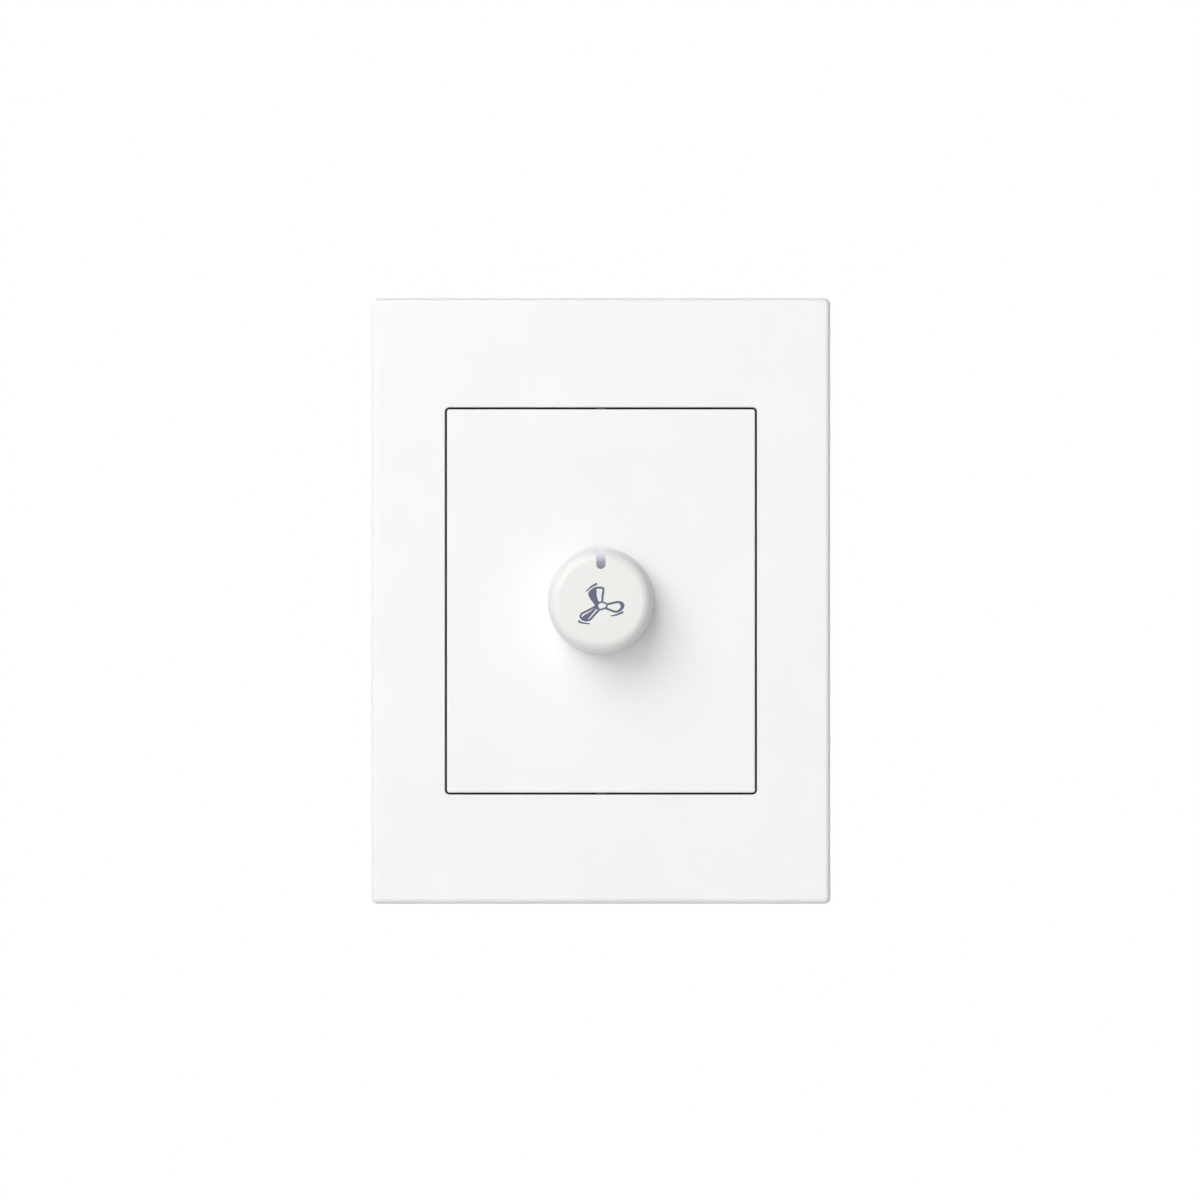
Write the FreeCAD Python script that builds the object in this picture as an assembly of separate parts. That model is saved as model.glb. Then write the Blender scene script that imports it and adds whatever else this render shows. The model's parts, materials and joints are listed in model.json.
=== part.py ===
import FreeCAD, Part

import math
import os

from FreeCAD import Vector

# A rotary fan speed control for a wall box, with its cover plate, its centre panel and its knob.
# The cover plate snaps on a dark carrier frame. The carrier is screwed to a sheet metal yoke, and
# the yoke is held on the wall box by two screws. Behind the yoke is a moulded housing with the
# control potentiometer, its off switch, the firing circuit, a fuse and a trimmer that sets the
# lowest speed. A terminal block with three rising clamps closes the housing's lower back corner.
#
# X points to the right, Y into the wall and Z up, in millimetres. The origin is where the knob's
# axis meets the wall, so that the front faces -Y and all that has a positive Y is in the wall box.

# Fits
running_gap = 0.05
slip_gap = 0.1
loose_gap = 0.2

# Cover plate. Its borders are counted from the window to the outer edge
side_border = 14.6
end_border = 21.65
plate_depth = 9.5
plate_wall = 2.2
plate_corner_radius = 1.3
plate_edge_radius = 1.1
collar_wall = 1.4
stiffener_thickness = 1.0
side_stiffener_z = 14.0
corner_stiffener_z = 44.0
end_stiffener_x = 8.0
corner_stiffener_x = 30.0
pry_slot_width = 9.0
pry_slot_depth = 1.4

# Centre panel, flush with the plate inside a narrow open line
panel_thickness = 2.4
panel_gap = 0.4
panel_corner_radius = 0.5
line_edge_radius = 0.25
skirt_height = 1.6
skirt_wall = 1.6
panel_rib_thickness = 1.0
panel_rib_height = 1.1
panel_rib_spacing = 18.0
panel_collar_wall = 2.6
tab_length = 6.0
tab_thickness = 0.9
tab_height = 1.4
tab_z = 19.0

# Knob
knob_diameter = 21.0
knob_height = 9.6
knob_gap = 0.4
knob_shoulder_radius = 2.2
knob_draft = 3.0
knob_wall = 1.8
knob_top_wall = 1.6
knob_skirt_edge = 0.4
knob_rib_thickness = 1.0
knob_rib_count = 6
boss_wall = 1.5
socket_space = 0.7
clip_sheet = 0.4
clip_width = 3.0
pointer_width = 1.8
pointer_reach = 6.3
pointer_depth = 0.25
knob_travel = 270.0

# Carrier frame between the yoke and the cover plate
carrier_side_space = 4.3
carrier_end_space = 4.8
carrier_thickness = 2.0
carrier_corner_radius = 2.0
lip_width = 1.5
lip_thickness = 1.2
opening_side_space = 0.7
opening_end_space = 1.95
rim_land = 1.0
rim_inset = 3.0
rim_space = 0.7
carrier_screw_land = 3.1
carrier_screw_z = 26.0
carrier_window_width = 14.0
carrier_window_height = 4.0
carrier_window_x = 20.0

# Snap hooks of the cover plate
hook_width = 8.0
hook_thickness = 1.2
hook_barb = 0.8
hook_barb_height = 1.0
side_hook_z = 26.0
end_hook_x = 18.0

# Yoke
yoke_side_margin = 5.2
yoke_end_margin = 8.35
yoke_thickness = 1.2
yoke_corner_radius = 4.0
box_screw_pitch = 83.3
box_slot_width = 4.2
box_slot_length = 9.0
extrusion_length = 1.2
extrusion_wall = 0.7
earth_tab_width = 8.0
earth_tab_length = 10.0
earth_tab_x = -17.0
earth_tab_drop = 4.4

# Fasteners
box_screw_radius = 1.75
box_screw_neck_radius = 1.5
box_screw_neck_length = 0.3
box_screw_length = 24.0
box_screw_head_radius = 3.3
box_screw_head_height = 2.2
carrier_screw_radius = 1.1
carrier_screw_head_radius = 2.0
carrier_screw_head_height = 1.3
carrier_screw_length = 5.0
housing_screw_radius = 1.4
housing_screw_head_radius = 2.5
housing_screw_head_height = 1.6
housing_screw_length = 10.0
earth_screw_radius = 1.75
earth_screw_head_radius = 3.0
earth_screw_head_height = 2.2
earth_screw_length = 4.6
earth_washer_size = 7.6
earth_washer_thickness = 1.0
head_taper = 0.5
slot_width = 0.8
slot_depth = 0.9

# Rear housing, as wide and as deep as what is in it needs
housing_top = 32.0
housing_bottom = -35.0
housing_wall = 1.8
housing_corner_radius = 3.0
housing_back_edge = 1.2
column_wall = 1.8
column_inset = 4.5
vent_width = 1.6
vent_length = 18.0
vent_pitch = 4.0
vent_count = 7
vent_z = 12.0
side_vent_length = 12.0
side_vent_count = 6
side_vent_y = 21.0
ledge_width = 1.6
ledge_thickness = 2.0
ledge_zs = (-8.0, 16.0)

# Control potentiometer
bushing_radius = 5.0
bushing_lead = 0.3
bushing_chamfer = 0.4
pot_radius = 8.2
pot_wall = 0.8
flange_thickness = 1.2
case_length = 6.0
shaft_radius = 3.0
shaft_flat_depth = 1.2
shaft_end_gap = 0.4
shaft_chamfer = 0.4
pot_nut_thickness = 2.0
pot_nut_across_flats = 14.0
washer_thickness = 0.6
washer_radius = 7.4
washer_notch_count = 10
washer_notch_width = 0.8
panel_nut_radius = 7.5
panel_nut_thickness = 2.0
panel_nut_notch = 1.8
ring_thickness = 0.5
ring_radius = 4.3
ring_groove_radius = 2.4
key_width = 2.0
key_length = 0.9
key_distance = 6.2
key_height = 1.0
wafer_thickness = 1.0
tongue_width = 13.0
tongue_length = 3.0
wiper_sheet = 0.3
wiper_rise = 0.9
wiper_width = 1.2
rotor_radius = 5.4
rotor_thickness = 2.2
finger_width = 2.0
stop_margin = 2.0
journal_radius = 2.0
journal_length = 1.5
switch_depth = 4.2
switch_inset = 0.2

# Circuit board and what is on it
board_space = 0.6
board_thickness = 1.6
board_gap = 0.4
board_margin = 1.7
lead_half = 0.35
lead_stub = 0.5
pot_pin_pitch = 5.0
pot_pin_drop = 2.0
switch_pin_spacing = 8.0
triac_x = 8.0
triac_hole_z = 24.6
triac_width = 10.2
triac_tab_height = 6.4
triac_hole_drop = 2.8
triac_tab_thickness = 1.3
triac_body_height = 9.2
triac_body_thickness = 4.5
triac_lead_pitch = 2.54
triac_lead_drop = 1.8
triac_pad_thickness = 0.3
rivet_radius = 1.4
rivet_head_radius = 2.6
rivet_head_height = 0.8
fuse_inset = 6.2
fuse_z = 4.0
fuse_length = 20.0
fuse_radius = 2.6
fuse_wall = 0.6
fuse_cap_wall = 0.3
fuse_cap_length = 5.2
fuse_clip_width = 4.0
fuse_clip_sheet = 0.4
trimmer_inset = 6.8
trimmer_z = -6.5
trimmer_size = 9.6
trimmer_height = 4.6
trimmer_spindle_radius = 2.4
trimmer_spindle_gap = 0.8
trimmer_pivot_radius = 1.5
trimmer_pivot_length = 3.0
choke_z = 15.0
choke_radius = 8.6
choke_hole_radius = 4.6
choke_length = 7.5
choke_wire = 0.9
choke_turns = 16
large_capacitor_size = (7.0, 13.0, 18.0)
large_capacitor_z = 11.6
small_capacitor_size = (5.0, 10.0, 13.0)
small_capacitor_z = 18.0
capacitor_side_space = 2.9
capacitor_pair_space = 4.2
capacitor_edge = 0.6
resistor_radius = 1.3
resistor_length = 7.0
resistor_lead_span = 11.0
resistor_inset = 8.8
resistor_zs = (-7.0, -10.4)
lone_resistor_place = (0.2, -7.2)
diac_radius = 0.95
diac_length = 4.2
diac_lead_span = 8.0
diac_place = (5.5, 7.0)

# Terminal block with rising clamps
pole_pitch = 11.0
block_depth = 16.9
block_space = 1.5
block_wall = 1.2
block_side_wall = 1.8
block_flange = 1.5
block_edge = 0.5
clamp_travel = 3.0
screw_well_depth = 3.0
clamp_screw_radius = 1.75
clamp_head_radius = 2.7
clamp_head_height = 2.2
cage_width = 7.0
cage_depth = 6.5
cage_window_width = 5.0
cage_foot = 2.0
cage_roof = 1.2
wire_height = 4.7
bar_thickness = 1.0
bar_rise = 3.4
prong_width = 1.4
entry_wall = 2.8
entry_flare = 0.7

# Depths, counted from the wall, with the front negative
plate_front = -plate_depth
panel_front = plate_front
panel_back = panel_front + panel_thickness
skirt_back = panel_back + skirt_height
yoke_front = -yoke_thickness
carrier_front = yoke_front - carrier_thickness
lip_back = carrier_front + lip_thickness
washer_front = yoke_front - washer_thickness
pot_nut_front = washer_front - pot_nut_thickness
panel_nut_front = panel_front - panel_nut_thickness
bushing_front = panel_nut_front - bushing_lead
ring_back = bushing_front - slip_gap
ring_front = ring_back - ring_thickness
boss_end = ring_front - 2 * running_gap - clip_sheet - loose_gap
knob_skirt = panel_front - knob_gap
knob_front = knob_skirt - knob_height
socket_front = knob_front + knob_top_wall
shaft_front = socket_front + shaft_end_gap
wafer_back = flange_thickness + wafer_thickness
rotor_front = wafer_back + wiper_rise
rotor_back = rotor_front + rotor_thickness
case_back = flange_thickness + case_length
journal_end = case_back + journal_length
switch_back = case_back + switch_depth
board_front = switch_back + board_space
board_back = board_front + board_thickness
block_front = board_back + block_space
housing_depth = block_front + block_depth
lead_back = board_back + lead_stub
lead_front = board_front - lead_stub
back_wall = housing_depth - housing_wall

# Places on the circuit board, from its middle out, and the width of board and housing
choke_x = -choke_radius - choke_wire - slip_gap
small_capacitor_x = capacitor_side_space + small_capacitor_size[0] / 2
large_capacitor_x = (small_capacitor_x + small_capacitor_size[0] / 2 + capacitor_pair_space
                     + large_capacitor_size[0] / 2)
small_capacitor_place = (small_capacitor_x, small_capacitor_z)
large_capacitor_place = (large_capacitor_x, large_capacitor_z)
board_half_width = max(large_capacitor_x + large_capacitor_size[0] / 2,
                       choke_radius + choke_wire - choke_x) + board_margin
fuse_x = fuse_inset - board_half_width
trimmer_x = board_half_width - trimmer_inset
resistor_x = resistor_inset - board_half_width
resistor_places = ((resistor_x, resistor_zs[0]), (resistor_x, resistor_zs[1]), lone_resistor_place)
inner_x = board_half_width + board_gap
housing_width = 2 * (inner_x + housing_wall)

# Places of the screws, and the pieces in front, which reach past them
column_radius = housing_screw_radius + column_wall
column_x = housing_width / 2 - column_inset
column_zs = (housing_bottom + column_inset, housing_top - column_inset)
box_screw_z = box_screw_pitch / 2
opening_width = 2 * (column_x + housing_screw_head_radius + opening_side_space)
rim_inner_height = 2 * (housing_screw_head_radius + opening_end_space - column_zs[0])
carrier_screw_x = opening_width / 2 + carrier_screw_land
rim_inner_width = 2 * (carrier_screw_x + carrier_screw_head_radius + rim_space)
panel_width = rim_inner_width + 2 * rim_inset
panel_height = rim_inner_height + 2 * rim_inset
window_width = panel_width + 2 * panel_gap
window_height = panel_height + 2 * panel_gap
window_radius = panel_corner_radius + panel_gap
plate_width = window_width + 2 * side_border
plate_height = window_height + 2 * end_border
carrier_width = plate_width - 2 * (plate_wall + carrier_side_space)
carrier_height = plate_height - 2 * (plate_wall + carrier_end_space)
yoke_width = 2 * (carrier_screw_x + yoke_side_margin)
yoke_height = box_screw_pitch + 2 * yoke_end_margin
earth_tab_z = housing_bottom - earth_tab_drop

# Sizes that follow from others
knob_radius = knob_diameter / 2
shaft_flat = shaft_radius - shaft_flat_depth
socket_flat = shaft_flat + socket_space
boss_radius = shaft_radius + boss_wall
case_inner_radius = pot_radius - pot_wall
switch_radius = pot_radius - switch_inset
pot_pin_z = -(pot_radius + pot_pin_drop)
housing_z = (housing_top + housing_bottom) / 2
housing_height = housing_top - housing_bottom
inner_top = housing_top - housing_wall
inner_bottom = housing_bottom + housing_wall
fuse_y = board_front - fuse_clip_sheet - slip_gap - fuse_radius
choke_front = lead_back + loose_gap

# Heights in the terminal block, from its foot up, and its depths
well_top = housing_bottom + screw_well_depth
pocket_floor = well_top + block_wall
cage_bottom = pocket_floor + loose_gap + clamp_travel
foot_top = cage_bottom + cage_foot
bar_bottom = foot_top + loose_gap
bar_top = bar_bottom + bar_thickness
wire_top = bar_top + wire_height
cage_top = wire_top + cage_roof
block_top = cage_top + loose_gap + block_wall
pocket_back = housing_depth - entry_wall
cage_back = pocket_back - loose_gap
cage_front = cage_back - cage_depth
clamp_y = (cage_front + cage_back) / 2
pole_xs = (-pole_pitch, 0.0, pole_pitch)
pole_names = ("left", "middle", "right")
pocket_width = cage_width + 2 * loose_gap
block_width = 2 * pole_pitch + pocket_width + 2 * block_side_wall
bar_width = cage_window_width - 2 * loose_gap
bar_tail_back = block_front - slip_gap
bar_tail_front = bar_tail_back - bar_thickness
board_bottom = block_top + board_gap
board_top = inner_top - board_gap
prong_z = board_bottom + bar_rise


# Shapes

def block(x, y, z):
    """A box from the lowest to the highest value in each direction."""
    return Part.makeBox(x[1] - x[0], y[1] - y[0], z[1] - z[0], Vector(x[0], y[0], z[0]))


def disc(radius, y0, y1, x=0.0, z=0.0):
    """A cylinder whose axis points into the wall."""
    return Part.makeCylinder(radius, y1 - y0, Vector(x, y0, z), Vector(0, 1, 0))


def ring(outer, inner, y0, y1, x=0.0, z=0.0):
    return disc(outer, y0, y1, x, z).cut(disc(inner, y0, y1, x, z))


def cone(radius0, radius1, y0, y1, x=0.0, z=0.0):
    return Part.makeCone(radius0, radius1, y1 - y0, Vector(x, y0, z), Vector(0, 1, 0))


def post(radius, z0, z1, x, y):
    """A cylinder that stands upright."""
    return Part.makeCylinder(radius, z1 - z0, Vector(x, y, z0), Vector(0, 0, 1))


def edges_into_wall(shape):
    """The edges that run straight from the front to the back."""
    depth = shape.BoundBox.YLength
    return [e for e in shape.Edges if abs(e.BoundBox.YLength - depth) < running_gap
            and max(e.BoundBox.XLength, e.BoundBox.ZLength) < running_gap]


def edges_at(shape, y):
    """The edges that lie wholly at one depth."""
    return [e for e in shape.Edges if abs(e.BoundBox.YMin - y) < running_gap
            and abs(e.BoundBox.YMax - y) < running_gap]


def slab(width, height, y0, y1, radius=0.0, x=0.0, z=0.0):
    """A plate parallel to the wall, centred on x and z, with its four corners rounded."""
    plate = block((x - width / 2, x + width / 2), (y0, y1), (z - height / 2, z + height / 2))
    return plate.makeFillet(radius, edges_into_wall(plate)) if radius > 0 else plate


def hollow_slab(width, height, wall, y0, y1, radius=0.0, x=0.0, z=0.0):
    outer = slab(width, height, y0, y1, radius, x, z)
    return outer.cut(slab(width - 2 * wall, height - 2 * wall, y0, y1, max(radius - wall, 0.0), x, z))


def upright_prism(points, z0, z1):
    """A solid with this outline in X and Y, between two heights."""
    corners = [Vector(x, y, z0) for x, y in points]
    return Part.Face(Part.makePolygon(corners + corners[:1])).extrude(Vector(0, 0, z1 - z0))


def level_prism(points, x0, x1):
    """A solid with this outline in Y and Z, between two places from left to right."""
    corners = [Vector(x0, y, z) for y, z in points]
    return Part.Face(Part.makePolygon(corners + corners[:1])).extrude(Vector(x1 - x0, 0, 0))


def turned(shape, angle):
    """A copy turned about the knob's axis, clockwise seen from the front."""
    copy = shape.copy()
    copy.rotate(Vector(), Vector(0, 1, 0), angle)
    return copy


def moved(shape, x=0.0, y=0.0, z=0.0):
    copy = shape.copy()
    copy.translate(Vector(x, y, z))
    return copy


def joined(shapes):
    shapes = list(shapes)
    return shapes[0].multiFuse(shapes[1:]).removeSplitter() if len(shapes) > 1 else shapes[0]


def sector(inner, outer, y0, y1, middle, half_angle):
    """Part of a ring round the knob's axis. Its middle is given clockwise from the top."""
    corners = [Vector(0, y, r) for r, y in ((inner, y0), (outer, y0), (outer, y1), (inner, y1))]
    face = Part.Face(Part.makePolygon(corners + corners[:1]))
    face.rotate(Vector(), Vector(0, 1, 0), middle - half_angle)
    return face.revolve(Vector(), Vector(0, 1, 0), 2 * half_angle)


def four_places(x, z):
    return [(side * x, end * z) for side in (-1, 1) for end in (-1, 1)]


def save(name, shapes):
    """Writes one node. Several separate solids of one node go into one file."""
    solids = shapes if isinstance(shapes, list) else [shapes]
    shape = solids[0] if len(solids) == 1 else Part.makeCompound(solids)
    shape.exportStep(os.path.join("parts", name + ".step"))


def slotted_screw(radius, length, head_radius, head_height, seat=0.0, neck_radius=None, neck_length=0.0):
    """A slotted screw that points into the wall, with its head's underside at y = seat."""
    head = cone(head_radius - head_taper, head_radius, seat - head_height, seat)
    slot = block((-head_radius, head_radius), (seat - head_height, seat - head_height + slot_depth),
                 (-slot_width / 2, slot_width / 2))
    pieces = [head, disc(radius, seat + neck_length, seat + length)]
    if neck_radius:
        pieces.append(disc(neck_radius, seat, seat + neck_length))
    return joined(pieces).cut(slot)


# Cover plate and centre panel

def snap_hook(reach, along, side):
    """A hook that hangs from the cover plate and grips the carrier's lip. Side 0 is the right one."""
    stem = reach + loose_gap
    root = plate_front + plate_wall
    grip = lip_back + slip_gap
    tip = grip + hook_barb_height
    points = [(stem, root), (stem, grip), (stem - hook_barb, grip), (stem, tip),
              (stem + hook_thickness, tip), (stem + hook_thickness, root)]
    return turned(upright_prism(points, along - hook_width / 2, along + hook_width / 2), 90 * side)


def stiffeners():
    """Ribs between the window's collar and the outer wall. Their feet rest on the carrier."""
    collar_x = window_width / 2 + collar_wall / 2
    collar_z = window_height / 2 + collar_wall / 2
    wall_x = plate_width / 2 - plate_wall / 2
    wall_z = plate_height / 2 - plate_wall / 2
    half = stiffener_thickness / 2
    depth = (plate_front + plate_wall / 2, carrier_front)
    ribs = []
    for z in (-corner_stiffener_z, -side_stiffener_z, side_stiffener_z, corner_stiffener_z):
        ribs += [block((collar_x, wall_x), depth, (z - half, z + half)),
                 block((-wall_x, -collar_x), depth, (z - half, z + half))]
    for x in (-corner_stiffener_x, -end_stiffener_x, end_stiffener_x, corner_stiffener_x):
        ribs += [block((x - half, x + half), depth, (collar_z, wall_z)),
                 block((x - half, x + half), depth, (-wall_z, -collar_z))]
    collar_clear = slab(window_width + 2 * collar_wall, window_height + 2 * collar_wall,
                        skirt_back - loose_gap, carrier_front, window_radius)
    return joined(ribs).cut(collar_clear)


def cover_frame():
    body = slab(plate_width, plate_height, plate_front, 0, plate_corner_radius)
    body = body.makeFillet(plate_edge_radius, edges_at(body, plate_front))
    body = body.cut(slab(window_width, window_height, plate_front, 0, window_radius))
    line = [e for e in edges_at(body, plate_front) if abs(e.CenterOfMass.x) < window_width / 2 + panel_gap
            and abs(e.CenterOfMass.z) < window_height / 2 + panel_gap]
    body = body.makeFillet(line_edge_radius, line)
    cavity = slab(plate_width - 2 * plate_wall, plate_height - 2 * plate_wall, plate_front + plate_wall, 0)
    collar = slab(window_width + 2 * collar_wall, window_height + 2 * collar_wall,
                  plate_front, skirt_back - loose_gap, window_radius + collar_wall)
    body = body.cut(cavity.cut(collar))
    hooks = [snap_hook(carrier_width / 2, z, side) for side in (0, 2) for z in (-side_hook_z, side_hook_z)]
    hooks += [snap_hook(carrier_height / 2, x, side) for side in (1, 3) for x in (-end_hook_x, end_hook_x)]
    body = joined([body, stiffeners()] + hooks)
    pry_slot = block((-pry_slot_width / 2, pry_slot_width / 2), (-pry_slot_depth, 0),
                     (-plate_height / 2, plate_wall - plate_height / 2))
    return body.cut(pry_slot)


def panel_tabs(grow):
    """Locating tabs under the panel's skirt, or with grow the slots that they stand in."""
    half_x = tab_thickness / 2 + grow
    half_z = tab_length / 2 + grow
    tab_x = panel_width / 2 - skirt_wall / 2
    return [block((x - half_x, x + half_x), (skirt_back, skirt_back + tab_height + grow),
                  (z - half_z, z + half_z)) for x, z in four_places(tab_x, tab_z)]


def centre_panel():
    face = slab(panel_width, panel_height, panel_front, panel_back, panel_corner_radius)
    face = face.makeFillet(line_edge_radius, edges_at(face, panel_front))
    skirt = hollow_slab(panel_width, panel_height, skirt_wall, panel_back, skirt_back, panel_corner_radius)
    hole_radius = bushing_radius + slip_gap
    collar = disc(hole_radius + panel_collar_wall, panel_back, skirt_back)
    half = panel_rib_thickness / 2
    rib_depth = (panel_back, panel_back + panel_rib_height)
    end_x = panel_width / 2 - skirt_wall / 2
    end_z = panel_height / 2 - skirt_wall / 2
    ribs = [block((-end_x, end_x), rib_depth, (z - half, z + half))
            for z in (-panel_rib_spacing, 0, panel_rib_spacing)]
    ribs += [block((x - half, x + half), rib_depth, (-end_z, end_z))
             for x in (-panel_rib_spacing, 0, panel_rib_spacing)]
    body = joined([face, skirt, collar] + ribs + panel_tabs(0))
    return body.cut(disc(hole_radius, panel_front, skirt_back))


def panel_nut():
    """Round nut that clamps the panel, with four notches for a pin spanner."""
    nut = ring(panel_nut_radius, bushing_radius + running_gap, panel_nut_front, panel_front)
    half = panel_nut_notch / 2
    notch = block((-half, half), (panel_nut_front, panel_front),
                  (panel_nut_radius - half, panel_nut_radius + half))
    return nut.cut(joined([turned(notch, 90 * i) for i in range(4)]))


# Knob

def knob_form(inset=0.0):
    """The knob's outside as one turned solid, or with inset the same form a little smaller.

    The shoulder bends from the flat face into the side, which widens towards the wall by its draft.
    """
    draft = math.radians(knob_draft)
    steepest = math.pi / 2 - draft
    side_end = knob_skirt - knob_skirt_edge
    side_start = knob_front + knob_shoulder_radius * (1 - math.sin(draft))
    face_radius = (knob_radius - math.tan(draft) * (side_end - side_start)
                   - knob_shoulder_radius * math.cos(draft))

    def on_shoulder(angle):
        reach = knob_shoulder_radius - inset
        return Vector(face_radius + reach * math.sin(angle),
                      knob_front + knob_shoulder_radius - reach * math.cos(angle), 0)

    arc = Part.Arc(on_shoulder(0), on_shoulder(steepest / 2), on_shoulder(steepest)).toShape()
    side_radius = knob_radius - inset / math.cos(draft)
    sides = Part.makePolygon([
        on_shoulder(steepest),
        Vector(side_radius, side_end, 0),
        Vector(side_radius - knob_skirt_edge, knob_skirt, 0),
        Vector(0, knob_skirt, 0),
        Vector(0, knob_front + inset, 0),
        on_shoulder(0),
    ])
    outline = Part.Wire(Part.__sortEdges__([arc] + sides.Edges))
    return Part.Face(outline).revolve(Vector(), Vector(0, 1, 0), 360)


def pointer_groove():
    """Shallow groove from the face over the shoulder, which holds the pointer's paint."""
    half = pointer_width / 2
    start = pointer_reach + half
    depth = (knob_front, knob_skirt - knob_skirt_edge)
    column = block((-half, half), depth, (start, knob_radius)).fuse(disc(half, *depth, 0, start))
    return column.cut(knob_form(pointer_depth))


def d_bar(radius, flat, y0, y1):
    """A round bar with a flat on its upper side."""
    return disc(radius, y0, y1).cut(block((-radius, radius), (y0, y1), (flat, radius)))


def knob_cap():
    mouth_radius = knob_radius - knob_wall
    narrowing = math.tan(math.radians(knob_draft)) * (knob_skirt - socket_front)
    shell = knob_form().cut(cone(mouth_radius - narrowing, mouth_radius, socket_front, knob_skirt))
    boss = disc(boss_radius, socket_front, boss_end)
    half = knob_rib_thickness / 2
    rib = block((-half, half), (socket_front, boss_end), (shaft_radius, knob_radius - knob_wall / 2))
    ribs = [turned(rib, (i + 1 / 2) * 360 / knob_rib_count) for i in range(knob_rib_count)]
    body = joined([shell, boss] + ribs)
    socket = d_bar(shaft_radius + running_gap, socket_flat, socket_front, boss_end)
    return body.cut(socket).cut(pointer_groove())


def knob_spring_clip():
    """Bowed leaf spring between the shaft's flat and the socket, folded over the end of the boss."""
    front = socket_front + running_gap
    end = boss_end + running_gap
    middle = (front + end) / 2
    low = shaft_flat + running_gap
    high = socket_flat - running_gap - clip_sheet
    points = [
        (front, high), (middle, low), (end, high),
        (end + clip_sheet, high), (end + clip_sheet, boss_radius - loose_gap),
        (end, boss_radius - loose_gap), (end, high + clip_sheet),
        (middle, low + clip_sheet), (front, high + clip_sheet),
    ]
    return level_prism(points, -clip_width / 2, clip_width / 2)


def shaft():
    body = disc(shaft_radius, shaft_front, rotor_back)
    body = body.makeChamfer(shaft_chamfer, edges_at(body, shaft_front))
    flat_end = boss_end + clip_sheet + loose_gap
    for span in ((shaft_front, flat_end), (rotor_front, rotor_back)):
        body = body.cut(block((-shaft_radius, shaft_radius), span, (shaft_flat, shaft_radius)))
    return body.cut(ring(shaft_radius, ring_groove_radius, ring_front, ring_back))


def shaft_ring():
    """Open retaining ring in the shaft's groove, in front of the bushing."""
    body = ring(ring_radius, ring_groove_radius + running_gap, ring_front, ring_back)
    mouth = ring_groove_radius - loose_gap
    return body.cut(block((-mouth, mouth), (ring_front, ring_back), (-ring_radius, 0)))


# Potentiometer

def pot_bushing():
    """Threaded bushing and flange in one casting, with the key that stops it from turning."""
    barrel = disc(bushing_radius, bushing_front, flange_thickness)
    barrel = barrel.makeChamfer(bushing_chamfer, edges_at(barrel, bushing_front))
    flange = disc(pot_radius, 0, flange_thickness)
    key = slab(key_width, key_height, -key_length, 0, 0, 0, key_distance + key_height / 2)
    bore = disc(shaft_radius + running_gap, bushing_front, flange_thickness)
    return joined([barrel, flange, key]).cut(bore)


def pot_lock_washer():
    washer = ring(washer_radius, bushing_radius + slip_gap, washer_front, yoke_front)
    half = washer_notch_width / 2
    notch = block((-half, half), (washer_front, yoke_front),
                  (washer_radius - washer_notch_width, washer_radius + half))
    return washer.cut(joined([turned(notch, i * 360 / washer_notch_count)
                              for i in range(washer_notch_count)]))


def pot_nut():
    circle = pot_nut_across_flats / 2 / math.cos(math.pi / 6)
    corners = [Vector(circle * math.cos(i * math.pi / 3), pot_nut_front, circle * math.sin(i * math.pi / 3))
               for i in range(6)]
    hexagon = Part.Face(Part.makePolygon(corners + corners[:1])).extrude(Vector(0, pot_nut_thickness, 0))
    crown = cone(pot_nut_across_flats / 2, circle + pot_nut_thickness / 2, pot_nut_front, washer_front)
    return hexagon.common(crown).cut(disc(bushing_radius + running_gap, pot_nut_front, washer_front))


def pot_case():
    """Moulded cup behind the flange, with the stop that ends the knob's travel at its bottom."""
    cup = disc(pot_radius, flange_thickness, case_back)
    cup = cup.cut(disc(case_inner_radius, flange_thickness, case_back - pot_wall))
    finger_angle = math.degrees(math.asin(finger_width / 2 / rotor_radius))
    stop_angle = 180 - knob_travel / 2 - finger_angle - stop_margin
    stop = sector(rotor_radius + loose_gap, pot_radius - pot_wall / 2,
                  rotor_front, case_back - pot_wall / 2, 180, stop_angle)
    half = tongue_width / 2 + slip_gap
    gate = block((-half, half), (flange_thickness, wafer_back + slip_gap), (-pot_radius, 0))
    gate = gate.cut(disc(case_inner_radius, flange_thickness, wafer_back + slip_gap))
    bore = disc(journal_radius + running_gap, case_back - pot_wall, case_back)
    return joined([cup, stop]).cut(gate).cut(bore)


def resistive_wafer():
    """Wafer that carries the track, with the tongue that leaves the case at the bottom."""
    half = tongue_width / 2
    tongue = block((-half, half), (flange_thickness, wafer_back), (-pot_radius - tongue_length, 0))
    body = joined([disc(case_inner_radius - slip_gap, flange_thickness, wafer_back), tongue])
    body = body.cut(disc(shaft_radius + loose_gap, flange_thickness, wafer_back))
    return body.cut(joined(pins(pot_pin_places(), flange_thickness, wafer_back, slip_gap)))


def pot_pin_places():
    return [(x, pot_pin_z) for x in (-pot_pin_pitch, 0.0, pot_pin_pitch)]


def pot_pins():
    """Riveted pins from the tongue straight into the board."""
    collar = 2 * lead_half
    return [joined([pin, slab(2 * collar, collar, wafer_back, wafer_back + lead_half, 0, x, z)])
            for pin, (x, z) in zip(pins(pot_pin_places(), flange_thickness, lead_back), pot_pin_places())]


def wiper_rotor():
    body = disc(rotor_radius, rotor_front, rotor_back)
    half = finger_width / 2
    finger = block((-half, half), (rotor_front, rotor_back), (0, case_inner_radius - loose_gap))
    journal = disc(journal_radius, rotor_back, journal_end)
    body = joined([body, finger, journal])
    return body.cut(d_bar(shaft_radius + running_gap, shaft_flat + running_gap, rotor_front, rotor_back))


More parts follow.
